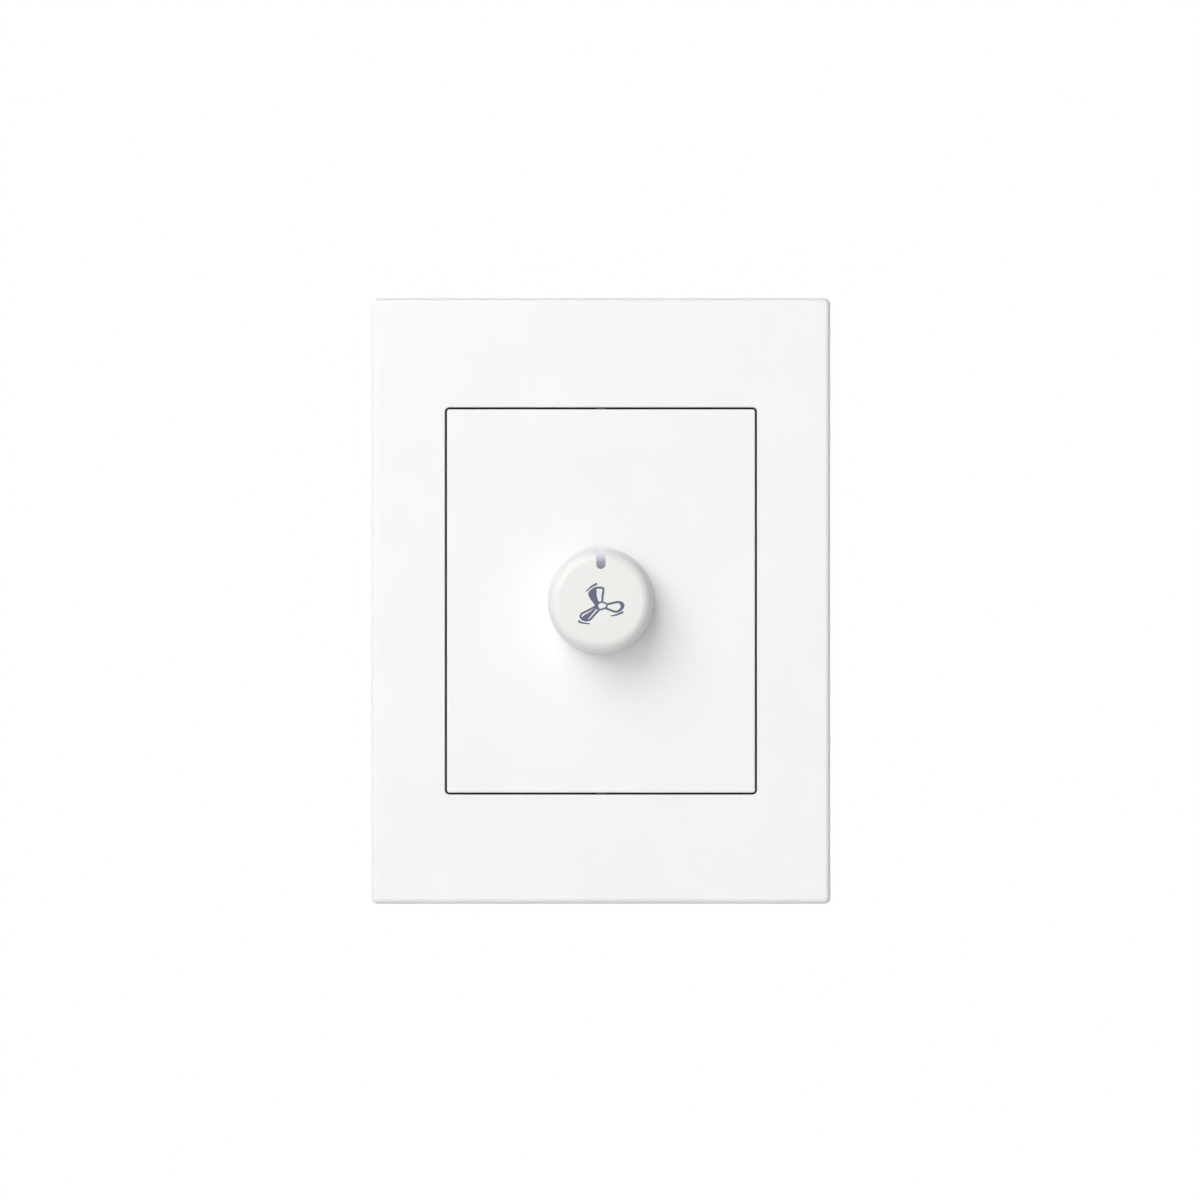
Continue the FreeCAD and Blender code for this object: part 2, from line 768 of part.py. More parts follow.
def wiper_contact():
    """Leaf ring on the rotor's face, with a bent finger on each side that rides on the track."""
    outer = shaft_radius + running_gap + wiper_width
    band = ring(outer, shaft_radius + running_gap, rotor_front - wiper_sheet, rotor_front)
    touch = wafer_back + running_gap
    reach = rotor_radius - wiper_sheet
    points = [
        (rotor_front, outer - wiper_width / 2), (rotor_front, outer),
        (touch + wiper_sheet, reach), (touch, reach),
        (rotor_front - wiper_sheet, outer - wiper_width / 2),
    ]
    finger = level_prism(points, -wiper_width / 2, wiper_width / 2)
    return joined([band, turned(finger, 90), turned(finger, -90)])


def off_switch():
    """Sealed snap switch behind the case. The rotor's journal turns in its blind socket."""
    body = disc(switch_radius, case_back, switch_back)
    body = body.makeChamfer(bushing_chamfer, edges_at(body, switch_back))
    return body.cut(disc(journal_radius + loose_gap, case_back, journal_end + loose_gap))


def switch_pin_places():
    return four_places(switch_pin_spacing / 2, switch_pin_spacing / 2)


def switch_pins():
    return pins(switch_pin_places(), switch_back, lead_back)


# Carrier frame and yoke

def carrier_frame():
    lip = slab(carrier_width, carrier_height, carrier_front, lip_back, carrier_corner_radius)
    plate = slab(carrier_width - 2 * lip_width, carrier_height - 2 * lip_width, carrier_front, yoke_front,
                 carrier_corner_radius)
    rim = hollow_slab(window_width + 2 * rim_land, window_height + 2 * rim_land,
                      rim_land + rim_inset + panel_gap, skirt_back, carrier_front, window_radius + rim_land)
    body = joined([lip, plate, rim])
    body = body.cut(slab(opening_width, rim_inner_height, carrier_front, yoke_front))
    body = body.cut(joined(panel_tabs(slip_gap)))
    access = box_screw_head_radius + loose_gap
    holes = [disc(access, skirt_back, yoke_front, 0, z) for z in (-box_screw_z, box_screw_z)]
    holes += [disc(carrier_screw_radius + slip_gap, carrier_front, yoke_front, x, z)
              for x, z in four_places(carrier_screw_x, carrier_screw_z)]
    holes += [slab(carrier_window_width, carrier_window_height, carrier_front, yoke_front, 0, x, z)
              for x, z in four_places(carrier_window_x, box_screw_z)]
    return body.cut(joined(holes))


def carrier_screws():
    screw = slotted_screw(carrier_screw_radius, carrier_screw_length, carrier_screw_head_radius,
                          carrier_screw_head_height, carrier_front)
    return [moved(screw, x, 0, z) for x, z in four_places(carrier_screw_x, carrier_screw_z)]


def earth_tab():
    """Tab that is cut free on three sides and folded into the box."""
    half = earth_tab_width / 2
    tab = block((earth_tab_x - half, earth_tab_x + half), (yoke_front, earth_tab_length),
                (earth_tab_z - yoke_thickness, earth_tab_z))
    hole = post(earth_screw_radius + slip_gap, earth_tab_z - yoke_thickness, earth_tab_z,
                earth_tab_x, earth_screw_y)
    return tab.cut(hole)


earth_screw_y = earth_tab_length - earth_washer_size / 2 - loose_gap


def mounting_yoke():
    sheet = slab(yoke_width, yoke_height, yoke_front, 0, yoke_corner_radius)
    key_half = key_width / 2 + slip_gap
    cuts = [
        disc(bushing_radius + slip_gap, yoke_front, 0),
        block((-key_half, key_half), (yoke_front, 0),
              (key_distance - slip_gap, key_distance + key_height + slip_gap)),
        disc(trimmer_spindle_radius + loose_gap, yoke_front, 0, trimmer_x, trimmer_z),
        disc(rivet_radius + slip_gap, yoke_front, 0, triac_x, triac_hole_z),
        slab(2 * fuse_radius + 2 * fuse_clip_sheet + 4 * loose_gap, fuse_length + 2 * loose_gap,
             yoke_front, 0, fuse_clip_sheet, fuse_x, fuse_z),
    ]
    end = (box_slot_length - box_slot_width) / 2
    for z in (-box_screw_z, box_screw_z):
        cuts.append(slab(box_slot_length - box_slot_width, box_slot_width, yoke_front, 0, 0, 0, z))
        cuts += [disc(box_slot_width / 2, yoke_front, 0, x, z) for x in (-end, end)]
    cuts += [disc(housing_screw_radius + slip_gap, yoke_front, 0, x, z)
             for x in (-column_x, column_x) for z in column_zs]
    half = earth_tab_width / 2
    cuts.append(block((earth_tab_x - half, earth_tab_x + half), (yoke_front, 0),
                      (-yoke_height / 2, earth_tab_z)))
    collars = [disc(carrier_screw_radius + extrusion_wall, yoke_front, extrusion_length, x, z)
               for x, z in four_places(carrier_screw_x, carrier_screw_z)]
    threads = [disc(carrier_screw_radius + running_gap, yoke_front, extrusion_length, x, z)
               for x, z in four_places(carrier_screw_x, carrier_screw_z)]
    body = sheet.cut(joined(cuts))
    return joined([body, earth_tab()] + collars).cut(joined(threads))


def box_screws():
    screw = slotted_screw(box_screw_radius, box_screw_length, box_screw_head_radius, box_screw_head_height,
                          yoke_front, box_screw_neck_radius, yoke_thickness + box_screw_neck_length)
    return [moved(screw, 0, 0, z) for z in (-box_screw_z, box_screw_z)]


def earth_screw():
    """Screw that points up through the tab. Its washer presses the wire on the tab's lower side."""
    screw = slotted_screw(earth_screw_radius, earth_screw_length, earth_screw_head_radius,
                          earth_screw_head_height)
    screw.rotate(Vector(), Vector(1, 0, 0), 90)
    return moved(screw, earth_tab_x, earth_screw_y, earth_tab_z - yoke_thickness - earth_washer_thickness)


def earth_washer():
    """Square washer with its outer edge turned up, so that the wire can't slip out."""
    half = earth_washer_size / 2
    top = earth_tab_z - yoke_thickness
    plate = block((earth_tab_x - half, earth_tab_x + half), (earth_screw_y - half, earth_screw_y + half),
                  (top - earth_washer_thickness, top))
    return plate.cut(post(earth_screw_radius + slip_gap, top - earth_washer_thickness, top,
                          earth_tab_x, earth_screw_y))


# Rear housing

def housing_columns(y0, y1_low, y1_high):
    """Screw columns in the four corners. The lower ones end in front of the terminal block."""
    ends = zip(column_zs, (y1_low, y1_high))
    return [disc(column_radius, y0, end, x, z) for z, end in ends for x in (-column_x, column_x)]


def block_clearance():
    """The corner of the housing that the terminal block fills."""
    half = block_width / 2 + slip_gap
    return block((-half, half), (block_front - slip_gap, housing_depth),
                 (housing_bottom, block_top + slip_gap))


def vents():
    """Slots in the back wall and in both side walls."""
    slots = []
    for i in range(vent_count):
        x = (i - (vent_count - 1) / 2) * vent_pitch
        slots.append(slab(vent_width, vent_length, back_wall, housing_depth, 0, x, vent_z))
    half_length = side_vent_length / 2
    for i in range(side_vent_count):
        z = vent_z + (i - (side_vent_count - 1) / 2) * vent_pitch
        for side in (-1, 1):
            slots.append(block(sorted((side * inner_x, side * housing_width / 2)),
                               (side_vent_y - half_length, side_vent_y + half_length),
                               (z - vent_width / 2, z + vent_width / 2)))
    return slots


def rear_housing():
    shell = slab(housing_width, housing_height, 0, housing_depth, housing_corner_radius, 0, housing_z)
    shell = shell.makeChamfer(housing_back_edge, edges_at(shell, housing_depth))
    hollow = slab(2 * inner_x, housing_height - 2 * housing_wall, 0, back_wall,
                  housing_corner_radius - housing_wall, 0, housing_z)
    outside = slab(housing_width, housing_height, 0, housing_depth, housing_corner_radius, 0, housing_z)
    lower_end = block_front - loose_gap
    columns = joined(housing_columns(0, lower_end, back_wall)).common(outside)
    half = ledge_thickness / 2
    ledges = [block(sorted((side * (inner_x - ledge_width), side * (inner_x + housing_wall / 2))),
                    (board_back, back_wall), (z - half, z + half))
              for side in (-1, 1) for z in ledge_zs]
    body = joined([shell.cut(hollow), columns] + ledges)
    body = body.cut(block_clearance())
    pilots = [disc(housing_screw_radius + running_gap, 0, housing_screw_length, x, z)
              for x in (-column_x, column_x) for z in column_zs]
    return body.cut(joined(pilots + vents()))


def housing_screws():
    screw = slotted_screw(housing_screw_radius, housing_screw_length, housing_screw_head_radius,
                          housing_screw_head_height, yoke_front)
    return [moved(screw, x, 0, z) for x in (-column_x, column_x) for z in column_zs]


# Circuit board

def pins(places, y0, y1, grow=0.0):
    """Square pins that go through the board, or with grow the holes for them."""
    side = 2 * (lead_half + grow)
    return [slab(side, side, y0, y1, 0, x, z) for x, z in places]


def triac_lead_places():
    z = triac_body_bottom - triac_lead_drop
    return [(triac_x + i * triac_lead_pitch, z) for i in (-1, 0, 1)]


triac_tab_top = triac_hole_z + triac_hole_drop
triac_body_top = triac_tab_top - triac_tab_height
triac_body_bottom = triac_body_top - triac_body_height
triac_front = triac_pad_thickness
triac_lead_y = triac_front + triac_body_thickness / 2


def triac():
    tab_back = triac_front + triac_tab_thickness
    tab = slab(triac_width, triac_tab_height + triac_body_height, triac_front, tab_back, 0,
               triac_x, (triac_tab_top + triac_body_bottom) / 2)
    case = slab(triac_width, triac_body_height, triac_front, triac_front + triac_body_thickness, 0,
                triac_x, (triac_body_top + triac_body_bottom) / 2)
    hole = disc(rivet_radius + loose_gap, triac_front, tab_back, triac_x, triac_hole_z)
    drops = [block((x - lead_half, x + lead_half), (triac_lead_y - lead_half, triac_lead_y + lead_half),
                   (z - lead_half, triac_body_bottom)) for x, z in triac_lead_places()]
    return joined([tab, case] + drops + pins(triac_lead_places(), triac_lead_y, lead_back)).cut(hole)


def triac_pad():
    pad = slab(triac_width + 2 * loose_gap, triac_tab_height + triac_body_height, 0, triac_pad_thickness, 0,
               triac_x, (triac_tab_top + triac_body_bottom) / 2)
    return pad.cut(disc(rivet_radius + slip_gap, 0, triac_pad_thickness, triac_x, triac_hole_z))


def triac_rivet():
    back = triac_front + triac_tab_thickness
    head = cone(rivet_radius, rivet_head_radius, yoke_front - rivet_head_height, yoke_front)
    shank = disc(rivet_radius, yoke_front, back)
    closed_end = cone(rivet_head_radius, rivet_radius, back, back + rivet_head_height)
    return moved(joined([head, shank, closed_end]), triac_x, 0, triac_hole_z)


def choke_lead_places():
    reach = choke_radius + choke_wire / 2
    return [(choke_x + side * reach / 2, choke_z - reach) for side in (-1, 1)]


def choke_core():
    front = choke_front + choke_wire + running_gap
    return ring(choke_radius, choke_hole_radius, front, front + choke_length, choke_x, choke_z)


def choke_winding():
    """Separate turns round the core, and the two wire ends that go into the board."""
    back = choke_front + choke_length + 2 * (choke_wire + running_gap)
    inner = choke_hole_radius - choke_wire - running_gap
    outer = choke_radius + choke_wire + running_gap
    half = choke_wire / 2
    loop = block((-half, half), (choke_front, back), (inner, outer))
    loop = loop.makeChamfer(half / 2, [e for e in loop.Edges if e.BoundBox.XLength > half])
    loop = loop.cut(block((-half, half), (choke_front + choke_wire, back - choke_wire),
                          (inner + choke_wire, outer - choke_wire)))
    turns = [moved(turned(loop, (i + 1 / 2) * 360 / choke_turns), choke_x, 0, choke_z)
             for i in range(choke_turns)]
    ends = pins(choke_lead_places(), lead_front, choke_front + choke_length)
    return turns + ends


def capacitor(size, place):
    """Boxed film capacitor on the back of the board, with two pins."""
    width, depth, height = size
    x, z = place
    case = slab(width, height, board_back, board_back + depth, 0, x, z)
    case = case.makeChamfer(capacitor_edge, edges_at(case, board_back + depth))
    return joined([case] + pins(capacitor_pin_places(size, place), lead_front, board_back))


def capacitor_pin_places(size, place):
    height = size[2]
    x, z = place
    return [(x, z + end * (height / 2 - 2 * capacitor_edge)) for end in (-1, 1)]


def axial_part(radius, length, span, place):
    """A small part that lies across the board on its two bent leads."""
    x, z = place
    y = board_back + radius + loose_gap
    body = Part.makeCylinder(radius, length, Vector(x - length / 2, y, z), Vector(1, 0, 0))
    wire = block((x - span / 2 - lead_half, x + span / 2 + lead_half),
                 (y - lead_half, y + lead_half), (z - lead_half, z + lead_half))
    legs = pins([(x - span / 2, z), (x + span / 2, z)], lead_front, y)
    return joined([body, wire] + legs)


def resistors():
    return [axial_part(resistor_radius, resistor_length, resistor_lead_span, place)
            for place in resistor_places]


def diac():
    return axial_part(diac_radius, diac_length, diac_lead_span, diac_place)


def axial_pin_places():
    places = [(x + side * resistor_lead_span / 2, z) for x, z in resistor_places for side in (-1, 1)]
    return places + [(diac_place[0] + side * diac_lead_span / 2, diac_place[1]) for side in (-1, 1)]


def fuse_tube():
    outer = fuse_radius - fuse_cap_wall
    half = fuse_length / 2 - fuse_cap_wall
    tube = post(outer, fuse_z - half, fuse_z + half, fuse_x, fuse_y)
    return tube.cut(post(outer - fuse_wall, fuse_z - half, fuse_z + half, fuse_x, fuse_y))


def fuse_caps():
    caps = []
    for end in (-1, 1):
        cap = post(fuse_radius, fuse_length / 2 - fuse_cap_length, fuse_length / 2, 0, 0)
        cap = cap.cut(post(fuse_radius - fuse_cap_wall, fuse_length / 2 - fuse_cap_length,
                           fuse_length / 2 - fuse_cap_wall, 0, 0))
        if end < 0:
            cap.rotate(Vector(), Vector(1, 0, 0), 180)
        caps.append(moved(cap, fuse_x, fuse_y, fuse_z))
    return caps


def fuse_clip_zs():
    reach = fuse_length / 2 - fuse_cap_length / 2
    return (fuse_z - reach, fuse_z + reach)


def fuse_clips():
    """Spring clips on the front of the board, with lips that lead the fuse in."""
    leg_inner = fuse_radius + running_gap
    leg_outer = leg_inner + fuse_clip_sheet
    base = board_front - fuse_clip_sheet
    lip_y = fuse_y - fuse_radius
    pinch_y = fuse_y - fuse_radius * 3 / 4
    pinch = leg_inner - fuse_clip_sheet / 2
    half = [(leg_inner, base), (leg_inner, fuse_y), (pinch, pinch_y), (leg_inner, lip_y),
            (leg_outer, lip_y), (pinch + fuse_clip_sheet, pinch_y), (leg_outer, fuse_y),
            (leg_outer, board_front)]
    outline = half + [(-x, y) for x, y in reversed(half)]
    clips = []
    for z in fuse_clip_zs():
        clip = upright_prism([(fuse_x + x, y) for x, y in outline],
                             z - fuse_clip_width / 2, z + fuse_clip_width / 2)
        clips.append(joined([clip] + pins([(fuse_x, z)], board_front, lead_back)))
    return clips


def trimmer_pin_places():
    reach = trimmer_size / 2 - lead_half - loose_gap
    return [(trimmer_x - reach, trimmer_z - reach), (trimmer_x + reach, trimmer_z - reach),
            (trimmer_x, trimmer_z + reach)]


trimmer_front = board_front - trimmer_height


def trimmer_base():
    case = slab(trimmer_size, trimmer_size, trimmer_front, board_front, 0, trimmer_x, trimmer_z)
    case = case.makeChamfer(bushing_chamfer, edges_into_wall(case))
    bore = disc(trimmer_pivot_radius + running_gap, trimmer_front,
                trimmer_front + trimmer_pivot_length + loose_gap, trimmer_x, trimmer_z)
    return joined([case] + pins(trimmer_pin_places(), board_front, lead_back)).cut(bore)


def trimmer_spindle():
    """Slotted spindle that a screwdriver reaches through the yoke, with its pivot in the base."""
    end = trimmer_front - running_gap
    body = joined([disc(trimmer_spindle_radius, trimmer_spindle_gap, end),
                   disc(trimmer_pivot_radius, end, trimmer_front + trimmer_pivot_length)])
    slot = block((-slot_width / 2, slot_width / 2), (trimmer_spindle_gap, trimmer_spindle_gap + slot_depth),
                 (-trimmer_spindle_radius, trimmer_spindle_radius))
    return moved(body.cut(slot), trimmer_x, 0, trimmer_z)


def circuit_board():
    board = block((-board_half_width, board_half_width), (board_front, board_back),
                  (board_bottom, board_top))
    places = pot_pin_places() + switch_pin_places() + triac_lead_places()
    places += choke_lead_places() + axial_pin_places() + trimmer_pin_places()
    places += capacitor_pin_places(large_capacitor_size, large_capacitor_place)
    places += capacitor_pin_places(small_capacitor_size, small_capacitor_place)
    places += [(fuse_x, z) for z in fuse_clip_zs()]
    holes = pins(places, board_front, board_back, slip_gap)
    half = prong_width / 2 + slip_gap
    holes += [block((x - half, x + half), (board_front, board_back),
                    (prong_z - slip_gap, prong_z + bar_thickness + slip_gap)) for x in pole_xs]
    corners = [disc(column_radius + board_gap, board_front, board_back, x, column_zs[1])
               for x in (-column_x, column_x)]
    corners += [block(sorted((side * column_x, side * board_half_width)), (board_front, board_back),
                      (column_zs[1], board_top)) for side in (-1, 1)]
    return board.cut(joined(holes)).cut(joined(corners))


# Terminal block

def wire_entry(x):
    """Rectangular entry with a flared mouth."""
    half = cage_window_width / 2
    neck = block((x - half, x + half), (pocket_back, housing_depth), (bar_top, wire_top))
    inner = Part.makePolygon(entry_corners(x, housing_depth - entry_flare, 0))
    outer = Part.makePolygon(entry_corners(x, housing_depth, entry_flare))
    return neck.fuse(Part.makeLoft([inner, outer], True, True))


def entry_corners(x, y, grow):
    half = cage_window_width / 2 + grow
    low = bar_top - grow
    high = wire_top + grow
    return [Vector(x - half, y, low), Vector(x + half, y, low), Vector(x + half, y, high),
            Vector(x - half, y, high), Vector(x - half, y, low)]


def terminal_block():
    half = block_width / 2
    body = block((-half, half), (block_front, housing_depth), (housing_bottom, block_top))
    body = body.makeChamfer(block_edge, edges_at(body, housing_depth))
    flange_back = back_wall - slip_gap
    flange = block((-half - block_flange, half + block_flange), (flange_back - block_flange, flange_back),
                   (inner_bottom + slip_gap, block_top + block_flange))
    body = joined([body, flange])
    cuts = []
    for x in pole_xs:
        side = pocket_width / 2
        cuts.append(block((x - side, x + side), (block_front, pocket_back),
                          (pocket_floor, block_top - block_wall)))
        cuts.append(wire_entry(x))
        cuts.append(post(clamp_screw_radius + loose_gap, housing_bottom, pocket_floor, x, clamp_y))
        cuts.append(post(clamp_head_radius + loose_gap, housing_bottom, well_top, x, clamp_y))
    return body.cut(joined(cuts))


def terminal_bars():
    """Bent bars that pass through the clamps and end in a prong in the board."""
    bars = []
    for x in pole_xs:
        tail_top = prong_z + bar_thickness
        points = [
            (cage_back, bar_bottom), (bar_tail_front, bar_bottom), (bar_tail_front, tail_top),
            (bar_tail_back, tail_top), (bar_tail_back, bar_top), (cage_back, bar_top),
        ]
        strip = level_prism(points, x - bar_width / 2, x + bar_width / 2)
        prong = block((x - prong_width / 2, x + prong_width / 2), (lead_front, bar_tail_front),
                      (prong_z, prong_z + bar_thickness))
        bars.append(joined([strip, prong]))
    return bars


def clamp_cage(x):
    """Rising clamp: a rectangular frame that the screw draws down on the wire."""
    half = cage_width / 2
    cage = block((x - half, x + half), (cage_front, cage_back), (cage_bottom, cage_top))
    half = cage_window_width / 2
    window = block((x - half, x + half), (cage_front, cage_back), (foot_top, wire_top))
    thread = post(clamp_screw_radius + running_gap, cage_bottom, foot_top, x, clamp_y)
    return cage.cut(window).cut(thread)


def clamp_screw(x):
    """Screw with its head in the well and its tip under the bar, so that it turns without rising."""
    seat = well_top - running_gap
    length = bar_bottom - running_gap - seat
    screw = slotted_screw(clamp_screw_radius, length, clamp_head_radius, clamp_head_height)
    screw.rotate(Vector(), Vector(1, 0, 0), 90)
    return moved(screw, x, clamp_y, seat)


os.makedirs("parts", exist_ok=True)
save("cover_frame", cover_frame())
save("centre_panel", centre_panel())
save("panel_nut", panel_nut())
save("knob_cap", knob_cap())
save("knob_spring_clip", knob_spring_clip())
save("shaft", shaft())
save("shaft_ring", shaft_ring())
save("wiper_rotor", wiper_rotor())
save("wiper_contact", wiper_contact())
save("pot_bushing", pot_bushing())
save("pot_lock_washer", pot_lock_washer())
save("pot_nut", pot_nut())
save("pot_case", pot_case())
save("resistive_wafer", resistive_wafer())
save("pot_pins", pot_pins())
save("off_switch", off_switch())
save("switch_pins", switch_pins())
save("carrier_frame", carrier_frame())
save("carrier_screws", carrier_screws())
save("mounting_yoke", mounting_yoke())
save("box_screws", box_screws())
save("earth_screw", earth_screw())
save("earth_washer", earth_washer())
save("rear_housing", rear_housing())
save("housing_screws", housing_screws())
save("circuit_board", circuit_board())
save("triac", triac())
save("triac_pad", triac_pad())
save("triac_rivet", triac_rivet())
save("choke_core", choke_core())
save("choke_winding", choke_winding())
save("large_capacitor", capacitor(large_capacitor_size, large_capacitor_place))
save("small_capacitor", capacitor(small_capacitor_size, small_capacitor_place))
save("resistors", resistors())
save("diac", diac())
save("fuse_tube", fuse_tube())
save("fuse_caps", fuse_caps())
save("fuse_clips", fuse_clips())
save("trimmer_base", trimmer_base())
save("trimmer_spindle", trimmer_spindle())
save("terminal_block", terminal_block())
save("terminal_bars", terminal_bars())
for name, x in zip(pole_names, pole_xs):
    save("terminal_clamp_" + name, clamp_cage(x))
    save("terminal_screw_" + name, clamp_screw(x))
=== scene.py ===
import json
import math

import bmesh
import bpy
from mathutils import Matrix, Vector


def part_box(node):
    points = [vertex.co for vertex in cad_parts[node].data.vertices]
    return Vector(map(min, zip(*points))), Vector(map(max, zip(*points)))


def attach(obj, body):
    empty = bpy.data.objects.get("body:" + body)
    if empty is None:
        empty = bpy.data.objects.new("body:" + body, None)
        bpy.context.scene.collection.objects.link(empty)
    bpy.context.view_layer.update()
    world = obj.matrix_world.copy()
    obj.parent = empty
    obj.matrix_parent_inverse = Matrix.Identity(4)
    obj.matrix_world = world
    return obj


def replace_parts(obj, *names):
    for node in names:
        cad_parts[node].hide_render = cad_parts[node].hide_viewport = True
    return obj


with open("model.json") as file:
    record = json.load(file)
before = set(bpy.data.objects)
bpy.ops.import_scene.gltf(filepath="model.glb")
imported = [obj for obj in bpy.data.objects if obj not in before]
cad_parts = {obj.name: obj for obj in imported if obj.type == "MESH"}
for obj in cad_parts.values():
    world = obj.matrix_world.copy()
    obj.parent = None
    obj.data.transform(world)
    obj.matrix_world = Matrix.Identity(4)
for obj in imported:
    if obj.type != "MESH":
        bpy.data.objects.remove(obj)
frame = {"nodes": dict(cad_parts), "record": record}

# The looks of a rotary fan speed control: satin white cover and centre panel, a white knob with a
# painted pointer and a printed fan sign, and behind them the dark carrier, the plated yoke, the
# housing, the terminal block, the screws and the board with its solder joints.
# Lengths are in millimetres, and MM makes them metres. Only the floor and the lamps are in metres.

MM = 0.001

# Points within this many metres are merged, and edges that bend more than this angle stay sharp
MERGE_REACH = 1e-7
SHARP_ANGLE = math.radians(32)

# Knob, as the frame has it. Its face lies a little behind its front, and the ink fills that space
KNOB_FACE_DROP = 0.015
KNOB_SHOULDER = 2.2
KNOB_DRAFT = math.radians(3.0)
KNOB_SKIRT_EDGE = 0.4
KNOB_WALL = 1.8
KNOB_TOP_WALL = 1.6
BOSS_RADIUS = 4.5
BOSS_DEPTH = 5.2
SOCKET_RADIUS = 3.05
SOCKET_FLAT = 2.5
RIB_THICKNESS = 1.0
RIB_COUNT = 6
POINTER_WIDTH = 1.8
POINTER_REACH = 6.3
GROOVE_DEPTH = 0.25
PAINT_DEPTH = 0.14

# How far a rib's end or a cutting body reaches past the surface that it meets
PAST = 1.0

# Divisions of the knob's round forms
KNOB_STEPS = 192
SHOULDER_STEPS = 24
SOCKET_STEPS = 48
POINTER_STEPS = 24

# Photograph: the width that it shows, and the camera's place beside the plate's middle
FRAME_MM = 237.6
CAMERA_LENS = 200.0
SENSOR = 36.0
CAMERA_X = -0.2
CAMERA_Z = 0.2


def corners(node):
    """A node's lowest and highest corner in millimetres."""
    low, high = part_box(node)
    return Vector(low) / MM, Vector(high) / MM


knob_low, knob_high = corners("knob_cap")
KNOB_RADIUS = knob_high.x
KNOB_FRONT = knob_low.y
KNOB_FACE = KNOB_FRONT + KNOB_FACE_DROP
KNOB_BACK = knob_high.y
KNOB_SKIRT = KNOB_BACK - KNOB_SKIRT_EDGE
bpy.context.view_layer.update()


# Node trees

def tree_step(tree, kind, inputs=None, output=0, **settings):
    """A new node's output. Its inputs are named or numbered, each a value or another node's output."""
    made = tree.nodes.new(kind)
    for name, value in settings.items():
        setattr(made, name, value)
    for place, value in (inputs or {}).items():
        if isinstance(value, bpy.types.NodeSocket):
            tree.links.new(value, made.inputs[place])
        else:
            made.inputs[place].default_value = value
    return made.outputs[output]


def reckon(tree, operation, first, second=0.0, clamp=False):
    return tree_step(tree, "ShaderNodeMath", {0: first, 1: second}, operation=operation, use_clamp=clamp)


# Finishes. A pattern's scale is counted per millimetre

NOISE_LOW = 0.3
NOISE_HIGH = 0.7
PLASTIC_TONE_SCALE = 0.05
PLASTIC_TONE_CHANGE = 0.012
PLASTIC_GLOSS_SCALE = 0.15
PLASTIC_GLOSS_CHANGE = 0.02
METAL_PATCH_SCALE = 0.12
METAL_SMOOTHER = 0.07
METAL_ROUGHER = 0.09
CRYSTAL_SCALE = 0.35
CRYSTAL_CHANGE = 0.07
WEAVE_SCALE = 0.35
WEAVE_BEND = 0.6
GLASS_FILM_SCALE = 0.4
# Stops of the pointer's ramp: its darker inner end, its own paint tone, and a pale painted highlight
# towards the rim
PAINT_AND_HIGHLIGHT_STOPS = (0.1, 0.35, 0.8)


def new_finish(name, colour, roughness, metallic=0.0, **extra):
    """A material with one main shader. Extra values are named as its sockets, with _ for a space."""
    material = bpy.data.materials.new(name)
    material.use_nodes = True
    shader = material.node_tree.nodes["Principled BSDF"]
    shader.inputs["Base Color"].default_value = (*colour, 1.0)
    shader.inputs["Roughness"].default_value = roughness
    shader.inputs["Metallic"].default_value = metallic
    for socket, value in extra.items():
        shader.inputs[socket.replace("_", " ")].default_value = value
    material.diffuse_color = (*colour, 1.0)
    return material


def drive(tree, socket, output):
    """Links an output to a socket of the main shader."""
    tree.links.new(output, tree.nodes["Principled BSDF"].inputs[socket])


def place_on(tree, stretch=(1.0, 1.0, 1.0)):
    """Object coordinates in millimetres, stretched along each axis."""
    place = tree_step(tree, "ShaderNodeTexCoord", output="Object")
    return tree_step(tree, "ShaderNodeMapping", {"Vector": place, "Scale": [s / MM for s in stretch]})


def noise(tree, place, scale, detail=2.0):
    return tree_step(tree, "ShaderNodeTexNoise", {"Vector": place, "Scale": scale, "Detail": detail}, "Fac")


def spread(tree, value, low=0.0, high=1.0):
    """The middle of a noise stretched to the range from low to high."""
    return tree_step(tree, "ShaderNodeMapRange", {
        "Value": value, "From Min": NOISE_LOW, "From Max": NOISE_HIGH, "To Min": low, "To Max": high})


def blend_colours(tree, factor, first, second):
    ends = {"Factor": factor, "A": (*first, 1.0), "B": (*second, 1.0)}
    return tree_step(tree, "ShaderNodeMix", ends, "Result", data_type="RGBA")


def tinted(colour, amount):
    return [min(1.0, c * (1 + amount)) for c in colour]


def set_tones(tree, factor, colour, change):
    """Tones from a little darker to a little lighter than the colour."""
    drive(tree, "Base Color", blend_colours(tree, factor, tinted(colour, -change), tinted(colour, change)))


def set_bump(tree, height, depth):
    """A bump whose depth is in millimetres."""
    drive(tree, "Normal", tree_step(tree, "ShaderNodeBump", {
        "Height": height, "Distance": depth * MM, "Strength": 1.0}))


def moulded(name, colour, roughness, grain, depth):
    """Moulded plastic: a fine grain, slow changes of tone and of gloss."""
    material = new_finish(name, colour, roughness)
    tree = material.node_tree
    place = place_on(tree)
    set_tones(tree, spread(tree, noise(tree, place, PLASTIC_TONE_SCALE)), colour, PLASTIC_TONE_CHANGE)
    gloss = noise(tree, place, PLASTIC_GLOSS_SCALE, 1.0)
    low, high = roughness - PLASTIC_GLOSS_CHANGE, roughness + PLASTIC_GLOSS_CHANGE
    drive(tree, "Roughness", spread(tree, gloss, low, high))
    set_bump(tree, noise(tree, place, grain, 3.0), depth)
    return material


def metal(name, colour, roughness, stretch, scratch_scale, depth, tone=0.06):
    """Metal in patches of tone, whose gloss and level change along fine lines."""
    material = new_finish(name, colour, roughness, metallic=1.0)
    tree = material.node_tree
    lines = noise(tree, place_on(tree, stretch), scratch_scale, 4.0)
    set_tones(tree, spread(tree, noise(tree, place_on(tree), METAL_PATCH_SCALE, 3.0)), colour, tone)
    drive(tree, "Roughness", spread(tree, lines, roughness - METAL_SMOOTHER, roughness + METAL_ROUGHER))
    set_bump(tree, lines, depth)
    return material


